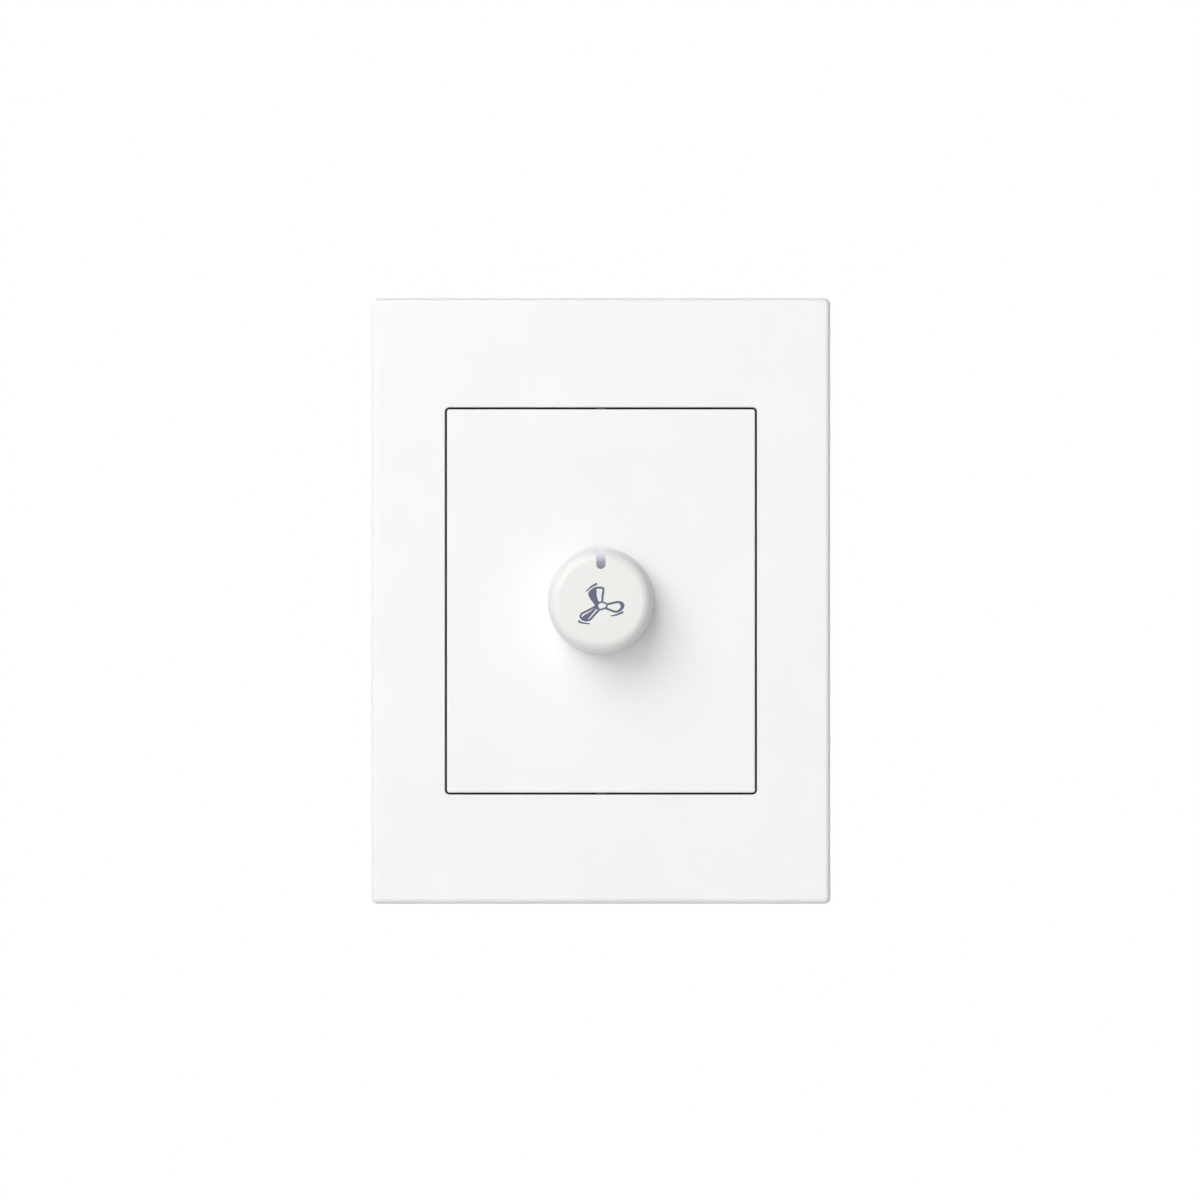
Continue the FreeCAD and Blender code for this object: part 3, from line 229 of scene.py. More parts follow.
def zinc_plate(name, colour, roughness):
    """Plated sheet with faint crystals and a rolling grain."""
    material = metal(name, colour, roughness, (0.15, 1.0, 1.0), 2.0, 0.004)
    tree = material.node_tree
    crystals = tree_step(tree, "ShaderNodeTexVoronoi", {
        "Vector": place_on(tree), "Scale": CRYSTAL_SCALE, "Randomness": 1.0}, "Color")
    level = tree_step(tree, "ShaderNodeSeparateColor", {"Color": crystals}, "Red")
    set_tones(tree, level, colour, CRYSTAL_CHANGE)
    return material


def laminate(name, colour, second, depth):
    """Glass or paper laminate with a woven ground under its coat."""
    material = new_finish(name, colour, 0.38)
    tree = material.node_tree
    threads = [tree_step(tree, "ShaderNodeTexWave", {
        "Vector": place_on(tree), "Scale": WEAVE_SCALE, "Distortion": WEAVE_BEND},
        "Fac", bands_direction=direction) for direction in ("X", "Z")]
    weave = reckon(tree, "MULTIPLY", *threads)
    drive(tree, "Base Color", blend_colours(tree, weave, colour, second))
    set_bump(tree, weave, depth)
    return material


def glass(name, colour):
    material = new_finish(name, colour, 0.03, Transmission_Weight=1.0, IOR=1.5)
    tree = material.node_tree
    film = noise(tree, place_on(tree), GLASS_FILM_SCALE)
    drive(tree, "Roughness", spread(tree, film, 0.02, 0.06))
    return material


def pointer_paint_and_highlight(name, near, middle, painted_highlight):
    """Pointer paint, darker at its inner end, which pales into a painted highlight over the shoulder
    towards the rim.
    """
    material = new_finish(name, middle, 0.42)
    tree = material.node_tree
    place = tree_step(tree, "ShaderNodeTexCoord", output="Object")
    height = tree_step(tree, "ShaderNodeSeparateXYZ", {"Vector": place}, "Z")
    along = tree_step(tree, "ShaderNodeMapRange", {
        "Value": height, "From Min": POINTER_REACH * MM, "From Max": KNOB_RADIUS * MM})
    ramp = tree.nodes.new("ShaderNodeValToRGB")
    stops = ramp.color_ramp.elements
    stops.new(PAINT_AND_HIGHLIGHT_STOPS[1])
    for stop, position, tone in zip(stops, PAINT_AND_HIGHLIGHT_STOPS, (near, middle, painted_highlight)):
        stop.position = position
        stop.color = (*tone, 1.0)
    tree.links.new(along, ramp.inputs["Fac"])
    drive(tree, "Base Color", ramp.outputs["Color"])
    set_bump(tree, noise(tree, place_on(tree), 6.0, 3.0), 0.01)
    return material


finishes = {
    "white_plastic": moulded("satin_white_cover", (0.865, 0.872, 0.885), 0.3, 6.0, 0.003),
    "knob_plastic": moulded("satin_white_knob", (0.805, 0.812, 0.786), 0.38, 9.0, 0.004),
    # The carrier is black plastic, and its black behind the gap round the centre panel also stands in as
    # painted shade in that gap
    "dark_plastic": moulded("black_carrier_and_gap_shade", (0.022, 0.022, 0.025), 0.55, 4.0, 0.02),
    "housing_plastic": moulded("light_grey_housing", (0.66, 0.665, 0.65), 0.5, 3.0, 0.02),
    "terminal_plastic": moulded("grey_terminal_block", (0.10, 0.115, 0.13), 0.5, 3.0, 0.02),
    "pot_plastic": moulded("black_moulding", (0.03, 0.03, 0.033), 0.45, 4.0, 0.02),
    "component_black": moulded("black_epoxy", (0.03, 0.03, 0.03), 0.6, 5.0, 0.03),
    "capacitor_box": moulded("yellow_capacitor", (0.62, 0.36, 0.05), 0.35, 4.0, 0.01),
    "resistor_body": moulded("beige_lacquer", (0.50, 0.33, 0.16), 0.3, 2.0, 0.02),
    "insulator": moulded("grey_pad", (0.42, 0.42, 0.45), 0.7, 5.0, 0.01),
    "ferrite": moulded("sintered_ring", (0.05, 0.05, 0.055), 0.6, 6.0, 0.04),
    "yoke_steel": zinc_plate("plated_yoke", (0.62, 0.63, 0.65), 0.36),
    "screw_steel": metal("bright_plated_steel", (0.68, 0.68, 0.69), 0.27, (1.0, 0.2, 1.0), 3.0, 0.003),
    "spring_steel": metal("spring_steel", (0.45, 0.46, 0.48), 0.3, (1.0, 0.2, 1.0), 3.0, 0.003),
    "shaft_metal": metal("turned_aluminium", (0.72, 0.72, 0.73), 0.3, (0.2, 3.0, 0.2), 2.0, 0.004),
    "brass": metal("brass", (0.72, 0.50, 0.20), 0.3, (1.0, 0.25, 1.0), 2.0, 0.004, 0.09),
    "enamelled_wire": metal("enamelled_copper", (0.60, 0.22, 0.08), 0.24, (1.0, 1.0, 0.3), 1.5, 0.004),
    "board": laminate("green_board", (0.025, 0.14, 0.06), (0.04, 0.19, 0.09), 0.01),
    "wafer": laminate("brown_laminate", (0.16, 0.075, 0.03), (0.22, 0.11, 0.05), 0.01),
    "clear_glass": glass("clear_glass", (0.92, 0.97, 0.96)),
}
solder = metal("solder", (0.66, 0.67, 0.69), 0.24, (1.0, 1.0, 1.0), 1.2, 0.006)
ink = moulded("slate_blue_ink", (0.095, 0.103, 0.175), 0.5, 12.0, 0.002)
# The last, pale tone is a painted highlight where the pointer runs over the knob's shoulder
paint_and_highlight = pointer_paint_and_highlight("pointer_paint_and_highlight", (0.20, 0.21, 0.255), (0.31, 0.31, 0.385), (0.86, 0.84, 0.90))

for subpart in frame["record"]["subparts"]:
    for place in frame["nodes"][subpart["node"]].material_slots:
        place.material = finishes[subpart["material_slot"]]


# Making pieces

def add_object(name, data):
    """A new object in the scene."""
    made = bpy.data.objects.new(name, data)
    bpy.context.scene.collection.objects.link(made)
    return made


def add_piece(name, mesh, material, body):
    """A finished piece at the origin, which rides on a body."""
    piece = add_object(name, mesh)
    if not mesh.materials:
        mesh.materials.append(material)
    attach(piece, body)
    return piece


def merge_points(work):
    bmesh.ops.remove_doubles(work, verts=work.verts, dist=MERGE_REACH)


def write_out(work, mesh):
    """Writes a bmesh to a mesh, with its faces turned outwards, and frees it."""
    bmesh.ops.recalc_face_normals(work, faces=work.faces)
    work.to_mesh(mesh)
    work.free()


def mesh_of(name, work):
    """A mesh from a bmesh, with its doubles merged and its faces turned outwards."""
    mesh = bpy.data.meshes.new(name)
    merge_points(work)
    write_out(work, mesh)
    return mesh


def cleaned(mesh):
    """The mesh closed, with its doubles merged, its faces turned outwards and its sharp edges marked."""
    work = bmesh.new()
    work.from_mesh(mesh)
    merge_points(work)
    bmesh.ops.holes_fill(work, edges=[edge for edge in work.edges if edge.is_boundary])
    write_out(work, mesh)
    mesh.shade_smooth()
    mesh.set_sharp_from_angle(angle=SHARP_ANGLE)
    return mesh


def evaluated_mesh(thing):
    """The plain mesh that an object's modifiers give."""
    depsgraph = bpy.context.evaluated_depsgraph_get()
    return bpy.data.meshes.new_from_object(thing.evaluated_get(depsgraph))


def turned_work(profile, steps):
    """A closed turned solid about the Y axis. The profile runs from axis to axis, as (radius, y)."""
    work = bmesh.new()
    rings = []
    for radius, y in profile:
        if radius == 0:
            rings.append([work.verts.new((0, y * MM, 0))])
            continue
        rings.append([work.verts.new((radius * MM * math.cos(a), y * MM, radius * MM * math.sin(a)))
                      for a in (2 * math.pi * i / steps for i in range(steps))])
    for near, far in zip(rings, rings[1:]):
        for i in range(steps):
            j = (i + 1) % steps
            loop = [near[i % len(near)], near[j % len(near)], far[j % len(far)], far[i % len(far)]]
            work.faces.new(dict.fromkeys(loop))
    return work


def prism_work(points, y0, y1, work=None):
    """A closed prism along Y over an outline of (x, z) points."""
    work = work or bmesh.new()
    front = [work.verts.new((x * MM, y0 * MM, z * MM)) for x, z in points]
    back = [work.verts.new((x * MM, y1 * MM, z * MM)) for x, z in points]
    work.faces.new(front)
    work.faces.new(back)
    for i in range(len(points)):
        j = (i + 1) % len(points)
        work.faces.new((front[i], front[j], back[j], back[i]))
    return work


def combined(mesh, steps):
    """The mesh after a row of boolean steps, each an operation and a second mesh."""
    base = add_object("work", mesh)
    tools = []
    for operation, other in steps:
        tools.append(add_object("tool", other))
        modifier = base.modifiers.new("cut", "BOOLEAN")
        modifier.operation = operation
        modifier.object = tools[-1]
        modifier.solver = "EXACT"
    result = evaluated_mesh(base)
    for thing in [base] + tools:
        bpy.data.objects.remove(thing)
    return result


def arc_points(radius, steps, start, end):
    """Points on a circle's arc between two angles in degrees."""
    angles = [math.radians(start + (end - start) * i / steps) for i in range(steps + 1)]
    return [(radius * math.cos(a), radius * math.sin(a)) for a in angles]


# Knob

def side_radius(y, inset=0.0):
    """The radius of the knob's drafted side at a depth."""
    return KNOB_RADIUS - inset / math.cos(KNOB_DRAFT) - math.tan(KNOB_DRAFT) * (KNOB_SKIRT - y)


def knob_profile(back, inset=0.0):
    """The knob's outer half section from the face's middle to a depth on the side, as (radius, y)."""
    reach = KNOB_SHOULDER - inset
    middle = KNOB_FACE + KNOB_SHOULDER
    steepest = math.pi / 2 - KNOB_DRAFT
    side = side_radius(middle - KNOB_SHOULDER * math.sin(KNOB_DRAFT))
    face_radius = side - KNOB_SHOULDER * math.cos(KNOB_DRAFT)
    points = [(0, middle - reach)]
    for i in range(SHOULDER_STEPS + 1):
        a = steepest * i / SHOULDER_STEPS
        points.append((face_radius + reach * math.sin(a), middle - reach * math.cos(a)))
    return points + [(side_radius(back, inset), back)]


def knob_core(name, back, inset):
    """A solid whose outside lies an even depth under the knob's, down to back."""
    return mesh_of(name, turned_work(knob_profile(back, inset) + [(0, back)], KNOB_STEPS))


def pointer_column(name, back):
    """The pointer's outline drawn through the knob, from before its front to back."""
    half = POINTER_WIDTH / 2
    reach = KNOB_RADIUS + PAST
    end = [(x, POINTER_REACH + half + z) for x, z in arc_points(half, POINTER_STEPS, 180, 360)]
    outline = end + [(half, reach), (-half, reach)]
    return mesh_of(name, prism_work(outline, KNOB_FRONT - PAST, back))


def knob_ribs(top):
    """Ribs from the boss to the knob's side, which start inside its top wall."""
    half = RIB_THICKNESS / 2
    near = BOSS_RADIUS - PAST
    far = KNOB_RADIUS - KNOB_WALL / 2
    outline = [(-half, near), (half, near), (half, far), (-half, far)]
    ribs = bmesh.new()
    for i in range(RIB_COUNT):
        turn = Matrix.Rotation(math.radians((i + 0.5) * 360 / RIB_COUNT), 2)
        turned = [turn @ Vector(point) for point in outline]
        prism_work(turned, top - KNOB_TOP_WALL / 2, top + BOSS_DEPTH, ribs)
    return mesh_of("ribs", ribs)


def knob_shell():
    """The hollow knob with its ribs, its flatted socket and the pointer's groove."""
    top = KNOB_FRONT + KNOB_TOP_WALL
    mouth = KNOB_RADIUS - KNOB_WALL
    narrow = mouth - math.tan(KNOB_DRAFT) * (KNOB_BACK - top)
    outer = knob_profile(KNOB_SKIRT) + [(KNOB_RADIUS - KNOB_SKIRT_EDGE, KNOB_BACK)]
    inner = [(mouth, KNOB_BACK), (narrow, top), (BOSS_RADIUS, top), (BOSS_RADIUS, top + BOSS_DEPTH),
             (0, top + BOSS_DEPTH)]
    shell = mesh_of("knob_shell", turned_work(outer + inner, KNOB_STEPS))
    flat_angle = math.degrees(math.asin(SOCKET_FLAT / SOCKET_RADIUS))
    socket = prism_work(arc_points(SOCKET_RADIUS, SOCKET_STEPS, 180 - flat_angle, 360 + flat_angle),
                        top, top + BOSS_DEPTH + PAST)
    groove = combined(pointer_column("groove", KNOB_SKIRT), [
        ("DIFFERENCE", knob_core("groove_floor", KNOB_BACK, GROOVE_DEPTH)),
    ])
    mesh = combined(shell, [
        ("UNION", knob_ribs(top)),
        ("DIFFERENCE", mesh_of("socket", socket)),
        ("DIFFERENCE", groove),
    ])
    piece = add_piece("knob_shell", cleaned(mesh), finishes["knob_plastic"], "knob")
    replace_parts(piece, "knob_cap")


def pointer_fill():
    """Paint on the groove's floor, which follows the knob's shoulder."""
    mesh = combined(pointer_column("column", KNOB_BACK), [
        ("INTERSECT", knob_core("outside", KNOB_SKIRT, PAINT_DEPTH)),
        ("DIFFERENCE", knob_core("inside", KNOB_BACK, GROOVE_DEPTH)),
    ])
    add_piece("pointer_paint_and_highlight", cleaned(mesh), paint_and_highlight, "knob")


# Fan sign on the knob's face. Places are counted from the knob's axis, as (x, z)

LINE = 0.42
HUB_LINE = LINE * 0.8
SWEEP_LINE = LINE * 1.15
THIN_END = 0.2
CURVE_STEPS = 8

# Each patch of ink lies on a level of its own, so that no two surfaces coincide
INK_STEP = 0.0015
FIRST_SHADE_LEVEL = 3
HUB_LEVEL = 7

UPPER_BLADE = [(-0.95, -0.81), (-2.31, 1.30), (-1.38, 2.41), (-0.46, 2.63), (0.35, 2.53), (0.47, 2.04),
               (0.31, 0.93), (0.23, -0.19)]
UPPER_SHADE = [(-1.07, -0.68), (-2.31, 1.30), (-1.38, 2.41), (-0.89, 2.35), (-0.85, 1.30), (-0.64, 0.31),
               (-0.33, -0.44)]
RIGHT_BLADE = [(1.22, -0.65), (2.52, -0.34), (3.51, -0.19), (4.25, -0.50), (4.37, -1.06), (3.94, -1.67),
               (3.01, -2.11), (1.90, -1.80), (0.84, -1.36)]
RIGHT_SHADE = [(3.38, -0.25), (4.25, -0.50), (4.37, -1.06), (3.94, -1.67), (3.01, -2.11), (3.69, -1.43),
               (3.85, -0.93)]
LOWER_BLADE = [(-1.14, -1.12), (-2.44, -1.80), (-3.67, -2.42), (-4.02, -2.97), (-3.73, -3.53),
               (-3.05, -3.80), (-2.19, -3.65), (-1.32, -2.73), (-0.39, -1.74)]
LOWER_SHADE = [(-0.95, -1.28), (-2.25, -2.15), (-3.40, -2.85), (-3.72, -3.25), (-3.45, -3.62),
               (-2.85, -3.70), (-2.40, -3.35), (-1.72, -2.52), (-1.05, -1.72)]
HUB = [(-0.70, -0.93), (-0.46, -0.44), (0.23, -0.21), (1.15, -0.68), (0.84, -1.36), (-0.33, -1.67)]
HUB_SHADE = [(-1.15, -0.50), (-0.46, -0.44), (-0.66, -1.06), (-0.33, -1.74), (-1.10, -1.50),
             (-1.25, -1.06)]
SWEEP_LINES = [[(-2.93, 1.82), (-2.00, 2.72), (-0.80, 3.43)],
               [(1.90, -2.94), (3.13, -2.69), (4.35, -2.14)],
               [(-2.16, -4.46), (-3.55, -4.33), (-4.48, -3.96)]]


def smooth_line(points, closed=False):
    """Points on a curve through the given ones."""
    count = len(points)
    spans = count if closed else count - 1
    line = []
    for i in range(spans):
        near = [Vector(points[(i + k) % count] if closed else points[min(max(i + k, 0), count - 1)])
                for k in (-1, 0, 1, 2)]
        for j in range(CURVE_STEPS):
            t = j / CURVE_STEPS
            line.append((near[1] * 2 + (near[2] - near[0]) * t
                         + (near[0] * 2 - near[1] * 5 + near[2] * 4 - near[3]) * t ** 2
                         + (near[1] * 3 - near[0] - near[2] * 3 + near[3]) * t ** 3) / 2)
    return line if closed else line + [Vector(points[-1])]


def ink_patch(work, outline, level):
    """A thin patch of ink inside an outline."""
    prism_work(outline, KNOB_FRONT + level * INK_STEP, KNOB_FACE, work)


def ink_ring(work, lefts, rights, level):
    """A closed band of ink between two outlines."""
    front = KNOB_FRONT + level * INK_STEP
    rows = [[work.verts.new((x * MM, y * MM, z * MM)) for x, z in side]
            for side, y in ((lefts, front), (rights, front), (rights, KNOB_FACE), (lefts, KNOB_FACE))]
    for near, far in zip(rows, rows[1:] + rows[:1]):
        for i in range(len(near)):
            j = (i + 1) % len(near)
            work.faces.new((near[i], near[j], far[j], far[i]))


def stroke(work, line, width, level, closed=False, start=None):
    """A thin raised line of ink along a curve. Its width may grow from start to width."""
    count = len(line)
    sides = []
    for i, point in enumerate(line):
        before = line[i - 1] if closed or i > 0 else line[i]
        after = line[(i + 1) % count] if closed or i < count - 1 else line[i]
        along = (after - before).normalized()
        reach = width / 2
        if start:
            reach = (start + (width - start) * i / (count - 1)) / 2
        across = Vector((-along.y, along.x)) * reach
        sides.append((point + across, point - across))
    lefts = [left for left, right in sides]
    rights = [right for left, right in sides]
    if closed:
        ink_ring(work, lefts, rights, level)
    else:
        ink_patch(work, lefts + rights[::-1], level)


def fan_sign():
    work = bmesh.new()
    for level, blade in enumerate((UPPER_BLADE, RIGHT_BLADE, LOWER_BLADE)):
        stroke(work, smooth_line(blade), LINE, level)
    for level, shade in enumerate((UPPER_SHADE, RIGHT_SHADE, LOWER_SHADE, HUB_SHADE), FIRST_SHADE_LEVEL):
        ink_patch(work, smooth_line(shade, closed=True), level)
    for line in SWEEP_LINES:
        stroke(work, smooth_line(line), SWEEP_LINE, 0, start=THIN_END)
    stroke(work, smooth_line(HUB, closed=True), HUB_LINE, HUB_LEVEL, closed=True)
    add_piece("fan_sign", mesh_of("fan_sign", work), ink, "knob")


# Growing small pieces on points with a node tree

def growing_tree(name, lengths):
    """A tree with inputs for points, named lengths, a turn and a finish, and what these inputs give."""
    tree = bpy.data.node_groups.new(name, "GeometryNodeTree")
    kinds = {"Geometry": "Geometry"} | dict.fromkeys(lengths, "Float")
    kinds |= {"Turn": "Vector", "Finish": "Material"}
    for socket, kind in kinds.items():
        tree.interface.new_socket(socket, in_out="INPUT", socket_type="NodeSocket" + kind)
    tree.interface.new_socket("Geometry", in_out="OUTPUT", socket_type="NodeSocketGeometry")
    return tree, tree.nodes.new("NodeGroupInput").outputs


def end_tree(tree, given, piece):
    """Sets the piece on each point, turned, and gives it out as a plain mesh with its finish."""
    set_out = tree_step(tree, "GeometryNodeInstanceOnPoints", {
        "Points": given["Geometry"], "Instance": piece, "Rotation": given["Turn"]})
    plain = tree_step(tree, "GeometryNodeRealizeInstances", {"Geometry": set_out})
    finished = tree_step(tree, "GeometryNodeSetMaterial", {"Geometry": plain, "Material": given["Finish"]})
    tree.links.new(finished, tree.nodes.new("NodeGroupOutput").inputs["Geometry"])


def cylinder(tree, sides, rows, radius, length):
    """A closed cylinder along Z, with its middle at the origin."""
    return tree_step(tree, "GeometryNodeMeshCylinder", {
        "Vertices": sides, "Side Segments": rows, "Radius": radius, "Depth": length})


def shift_up(tree, geometry, height):
    place = tree_step(tree, "ShaderNodeCombineXYZ", {"Z": height})
    return tree_step(tree, "GeometryNodeTransform", {"Geometry": geometry, "Translation": place})


def widened(tree, geometry, factor):
    """The geometry with each point's distance from the Z axis times a factor."""
    place = tree_step(tree, "GeometryNodeInputPosition")
    factors = tree_step(tree, "ShaderNodeCombineXYZ", {"X": factor, "Y": factor, "Z": 1.0})
    moved = tree_step(tree, "ShaderNodeVectorMath", {0: place, 1: factors}, operation="MULTIPLY")
    return tree_step(tree, "GeometryNodeSetPosition", {"Geometry": geometry, "Position": moved})


def along_axis(tree, axis):
    """Each point's place along an axis."""
    place = tree_step(tree, "GeometryNodeInputPosition")
    return tree_step(tree, "ShaderNodeSeparateXYZ", {"Vector": place}, axis)


def grown(name, tree, points, lengths, **others):
    """The plain mesh that a tree grows on points. Points and lengths are in millimetres."""
    places = bpy.data.meshes.new(name)
    places.from_pydata([Vector(point) * MM for point in points], [], [])
    ground = add_object(name + "_places", places)
    modifier = ground.modifiers.new("grow", "NODES")
    modifier.node_group = tree
    values = {key: value * MM for key, value in lengths.items()} | others
    for socket in tree.interface.items_tree:
        if socket.in_out == "INPUT" and socket.name in values:
            modifier[socket.identifier] = values[socket.name]
    mesh = evaluated_mesh(ground)
    ground.modifiers.remove(modifier)
    bpy.data.objects.remove(ground)
    return cleaned(mesh)


# Slotted screws. A screw's point lies in the middle of its head's underside

INTO_WALL = (-math.pi / 2, 0.0, 0.0)
UPWARDS = (0.0, 0.0, 0.0)
SCREW_LENGTHS = ("Radius", "Length", "Pitch", "Thread depth", "Neck radius", "Neck length", "Head radius",
                 "Head height")
HEAD_CUT = {"Head taper": 0.5, "Slot width": 0.8, "Slot depth": 0.9}

# For each node: its body, material slot, points, turn and lengths
SCREWS = {
    "box_screws": ("device", "screw_steel", [(0, -1.2, -41.65), (0, -1.2, 41.65)], INTO_WALL,
                   (1.75, 24.0, 0.8, 0.45, 1.5, 1.5, 3.3, 2.2)),
    "carrier_screws": ("device", "screw_steel",
                       [(x, -3.2, z) for x in (-24.8, 24.8) for z in (-26, 26)], INTO_WALL,
                       (1.1, 5.0, 0.6, 0.25, 0.95, 0.5, 2.0, 1.3)),
    "housing_screws": ("device", "screw_steel",
                       [(x, -1.2, z) for x in (-18.5, 18.5) for z in (-30.5, 27.5)], INTO_WALL,
                       (1.4, 10.0, 0.9, 0.35, 1.15, 0.6, 2.5, 1.6)),
    "earth_screw": ("device", "brass", [(-17.0, 6.0, -41.6)], UPWARDS,
                    (1.75, 4.6, 0.6, 0.35, 1.4, 0.5, 3.0, 2.2)),
}
for side, pole_x in (("left", -11), ("middle", 0), ("right", 11)):
    SCREWS["terminal_screw_" + side] = ("screw_" + side, "screw_steel", [(pole_x, 25.75, -32.05)], UPWARDS,
                                        (1.75, 6.6, 0.6, 0.35, 1.4, 0.5, 2.7, 2.2))

# Divisions of a screw, and the form of its thread and its head's upper edge
SHANK_SIDES = 28
ROWS_PER_PITCH = 8.0
CREST_START = 0.15
CREST_SLOPE = 1.4
HEAD_SIDES = 48
HEAD_ROWS = 10
HEAD_ROUNDING = 5.0


def thread_draw(tree, given, reach):
    """How far each point of the shank is drawn in, so that a thread is left which fades at both ends."""
    height = along_axis(tree, "Z")
    angle = reckon(tree, "ARCTAN2", along_axis(tree, "Y"), along_axis(tree, "X"))
    rounds = reckon(tree, "DIVIDE", angle, 2 * math.pi)
    pitches = reckon(tree, "DIVIDE", height, given["Pitch"])
    phase = reckon(tree, "FRACT", reckon(tree, "SUBTRACT", pitches, rounds))
    slope = reckon(tree, "ABSOLUTE", reckon(tree, "SUBTRACT", reckon(tree, "MULTIPLY", phase, 2.0), 1.0))
    crest = reckon(tree, "MULTIPLY", reckon(tree, "SUBTRACT", slope, CREST_START), CREST_SLOPE, clamp=True)
    left = reckon(tree, "SUBTRACT", reckon(tree, "MULTIPLY", reach, 0.5), reckon(tree, "ABSOLUTE", height))
    fade = reckon(tree, "DIVIDE", left, given["Pitch"], clamp=True)
    cut = reckon(tree, "MULTIPLY", given["Thread depth"],
                 reckon(tree, "SUBTRACT", 1.0, reckon(tree, "MULTIPLY", crest, fade)))
    return reckon(tree, "SUBTRACT", 1.0, reckon(tree, "DIVIDE", cut, given["Radius"]))


def head_draw(tree, given):
    """How far each point of the head is drawn in, so that its upper edge is round."""
    level = reckon(tree, "DIVIDE", along_axis(tree, "Z"), given["Head height"])
    rise = reckon(tree, "POWER", reckon(tree, "SUBTRACT", 0.5, level), HEAD_ROUNDING)
    taper = reckon(tree, "DIVIDE", given["Head taper"], given["Head radius"])
    return reckon(tree, "SUBTRACT", 1.0, reckon(tree, "MULTIPLY", taper, rise))


def screw_tree():
    """A slotted screw on each point. Its head's underside is at the point and its shank points up Z."""
    tree, given = growing_tree("slotted_screw", [*SCREW_LENGTHS, *HEAD_CUT])

    # Thread
    reach = reckon(tree, "SUBTRACT", given["Length"], given["Neck length"])
    rows = reckon(tree, "MULTIPLY", reckon(tree, "DIVIDE", reach, given["Pitch"]), ROWS_PER_PITCH)
    shank = cylinder(tree, SHANK_SIDES, rows, given["Radius"], reach)
    shank = widened(tree, shank, thread_draw(tree, given, reach))
    middle = reckon(tree, "ADD", given["Neck length"], reckon(tree, "MULTIPLY", reach, 0.5))
    shank = shift_up(tree, shank, middle)

    # Neck, which reaches into the head and the thread
    neck_reach = reckon(tree, "MULTIPLY", given["Neck length"], 1.5)
    neck = cylinder(tree, SHANK_SIDES, 1, given["Neck radius"], neck_reach)
    neck = shift_up(tree, neck, reckon(tree, "MULTIPLY", given["Neck length"], 0.5))

    # Head, and the slot that a box longer than the head cuts across its top
    head = cylinder(tree, HEAD_SIDES, HEAD_ROWS, given["Head radius"], given["Head height"])
    head = widened(tree, head, head_draw(tree, given))
    head = shift_up(tree, head, reckon(tree, "MULTIPLY", given["Head height"], -0.5))
    size = tree_step(tree, "ShaderNodeCombineXYZ", {
        "X": reckon(tree, "MULTIPLY", given["Head radius"], 3.0), "Y": given["Slot width"],
        "Z": reckon(tree, "MULTIPLY", given["Slot depth"], 2.0)})
    slot = shift_up(tree, tree_step(tree, "GeometryNodeMeshCube", {"Size": size}),
                    reckon(tree, "MULTIPLY", given["Head height"], -1.0))
    head = tree_step(tree, "GeometryNodeMeshBoolean", {"Mesh 1": head, "Mesh 2": slot},
                     operation="DIFFERENCE", solver="EXACT")

    screw = tree.nodes.new("GeometryNodeJoinGeometry")
    for part in (shank, neck, head):
        tree.links.new(part, screw.inputs["Geometry"])
    end_tree(tree, given, screw.outputs["Geometry"])
    return tree


def screws():
    """Threaded screws in place of the plain ones of each node."""
    tree = screw_tree()
    for node, (body, slot, points, turn, lengths) in SCREWS.items():
        name = node + "_threaded"
        sizes = dict(zip(SCREW_LENGTHS, lengths)) | HEAD_CUT
        mesh = grown(name, tree, points, sizes, Turn=turn, Finish=finishes[slot])
        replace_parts(add_piece(name, mesh, finishes[slot], body), node)


# Solder joints on both sides of the board. Places are (x, z) of the leads

JOINTS_BEHIND = [(-5, -10.2), (0, -10.2), (5, -10.2), (-4, -4), (-4, 4), (4, -4), (4, 4), (5.46, 10),
                 (8, 10), (10.54, 10), (9.75, -10.75), (18.25, -10.75), (14, -2.25), (-14.6, -3.4),
                 (-14.6, 11.4)]
JOINTS_BEFORE = [(-14.12, 5.95), (-5.08, 5.95), (-17.5, -7), (-6.5, -7), (-17.5, -10.4), (-6.5, -10.4),
                 (-5.3, -7.2), (5.7, -7.2), (1.5, 7), (9.5, 7), (15.6, 3.8), (15.6, 19.4), (5.4, 12.7),
                 (5.4, 23.3)]
JOINT_SIZES = {"Foot radius": 0.95, "Tip radius": 0.52, "Height": 0.45}
JOINT_SIDES = 24
JOINT_ROWS = 6
JOINT_HOLLOW = 2.2


def solder_tree():
    """A flared cone of solder on each point, which stands up Z."""
    tree, given = growing_tree("solder_joint", JOINT_SIZES)
    cone = cylinder(tree, JOINT_SIDES, JOINT_ROWS, given["Tip radius"], given["Height"])
    fall = reckon(tree, "SUBTRACT", 0.5, reckon(tree, "DIVIDE", along_axis(tree, "Z"), given["Height"]))
    flare = reckon(tree, "SUBTRACT", reckon(tree, "DIVIDE", given["Foot radius"], given["Tip radius"]), 1.0)
    growth = reckon(tree, "MULTIPLY", flare, reckon(tree, "POWER", fall, JOINT_HOLLOW))
    cone = widened(tree, cone, reckon(tree, "ADD", 1.0, growth))
    cone = shift_up(tree, cone, reckon(tree, "MULTIPLY", given["Height"], 0.5))
    end_tree(tree, given, cone)
    return tree


def solder_joints():
    tree = solder_tree()
    front, back = (corner.y for corner in corners("circuit_board"))
    for name, places, y, turn in (("solder_behind", JOINTS_BEHIND, back, -math.pi / 2),
                                  ("solder_before", JOINTS_BEFORE, front, math.pi / 2)):
        points = [(x, y, z) for x, z in places]
        mesh = grown(name, tree, points, JOINT_SIZES, Turn=(turn, 0.0, 0.0), Finish=solder)
        add_piece(name, mesh, solder, "device")


knob_shell()
pointer_fill()
fan_sign()
screws()
solder_joints()


# Room, lamps and camera. The floor and the lamps are in metres

FLOOR_REACH = 4.0
FLOOR_HEIGHT = -0.2
FADE_START = 0.25
FADE_END = 0.9
ROOM_LIGHT = 0.03

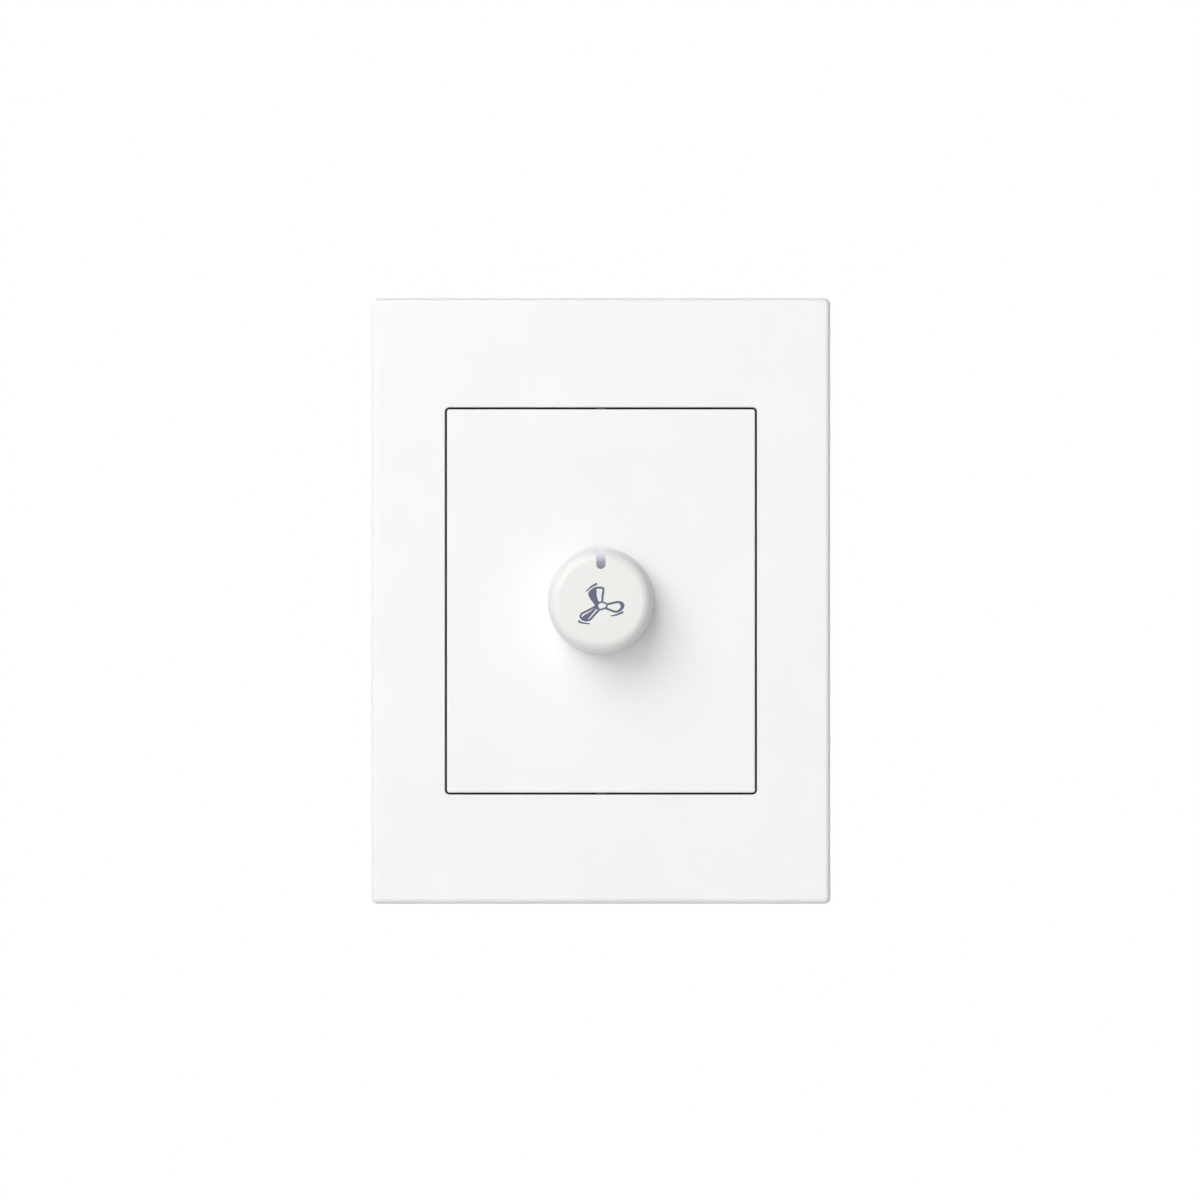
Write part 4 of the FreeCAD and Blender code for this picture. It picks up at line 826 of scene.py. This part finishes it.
# For each lamp: its place, its power in watts, its width and its height
LAMPS = {
    "front_lamp": ((-0.3, -2.9, 0.1), 18.0, 2.0, 2.0),
    "key_lamp": ((-1.15, -1.95, 1.55), 68.0, 2.4, 2.4),
    "low_lamp": ((0.0, -1.5, -0.26), 5.0, 1.4, 0.2),
    "rear_left_lamp": ((-0.8, 1.0, 0.6), 6.0, 0.7, 0.7),
    "rear_right_lamp": ((0.8, 1.0, 0.2), 5.0, 0.7, 0.7),
}


def seen_rays(tree):
    """1 for rays from the camera, from a gloss and through glass, and 0 for all other light."""
    path = tree.nodes.new("ShaderNodeLightPath").outputs
    gloss_too = reckon(tree, "MAXIMUM", path["Is Camera Ray"], path["Is Glossy Ray"])
    return reckon(tree, "MAXIMUM", gloss_too, path["Is Transmission Ray"])


def add_floor():
    """A pale floor under the object, which looks plain white further away."""
    work = bmesh.new()
    bmesh.ops.create_grid(work, x_segments=1, y_segments=1, size=FLOOR_REACH)
    bmesh.ops.translate(work, verts=work.verts, vec=(0, 0, FLOOR_HEIGHT))
    floor = add_object("floor", mesh_of("floor", work))
    material = new_finish("pale_floor", (0.84, 0.84, 0.84), 0.9)
    tree = material.node_tree
    place = tree_step(tree, "ShaderNodeTexCoord", output="Object")
    distance = tree_step(tree, "ShaderNodeVectorMath", {0: place}, "Value", operation="LENGTH")
    fade = tree_step(tree, "ShaderNodeMapRange", {
        "Value": distance, "From Min": FADE_START, "From Max": FADE_END})
    whiteness = reckon(tree, "MULTIPLY", fade, seen_rays(tree))
    plain = tree.nodes["Principled BSDF"].outputs["BSDF"]
    white = tree_step(tree, "ShaderNodeEmission", {"Strength": 1.0})
    joined = tree_step(tree, "ShaderNodeMixShader", {0: whiteness, 1: plain, 2: white})
    tree.links.new(joined, tree.nodes["Material Output"].inputs["Surface"])
    floor.data.materials.append(material)


def add_world():
    """White where the camera, a gloss or glass sees it, and a low even light otherwise."""
    world = bpy.data.worlds.new("studio")
    bpy.context.scene.world = world
    world.use_nodes = True
    tree = world.node_tree
    background = tree.nodes["Background"]
    background.inputs["Color"].default_value = (1.0, 1.0, 1.0, 1.0)
    level = tree_step(tree, "ShaderNodeMapRange", {
        "Value": seen_rays(tree), "To Min": ROOM_LIGHT, "To Max": 1.0})
    tree.links.new(level, background.inputs["Strength"])


def add_lamps():
    """Soft lamps that point at the object."""
    for name, (place, power, width, height) in LAMPS.items():
        data = bpy.data.lights.new(name, "AREA")
        data.shape = "RECTANGLE"
        data.size = width
        data.size_y = height
        data.energy = power
        lamp = add_object(name, data)
        lamp.location = place
        lamp.rotation_euler = (-Vector(place)).to_track_quat("-Z", "Y").to_euler()


def add_camera():
    front = corners("cover_frame")[0].y * MM
    distance = FRAME_MM * MM * CAMERA_LENS / SENSOR
    data = bpy.data.cameras.new("camera")
    data.sensor_width = SENSOR
    data.lens = CAMERA_LENS
    camera = add_object("camera", data)
    camera.location = (CAMERA_X * MM, front - distance, CAMERA_Z * MM)
    camera.rotation_euler = (math.pi / 2, 0, 0)
    bpy.context.scene.camera = camera


add_floor()
add_world()
add_lamps()
add_camera()
bpy.context.scene.view_settings.view_transform = "Standard"

bpy.context.view_layer.update()
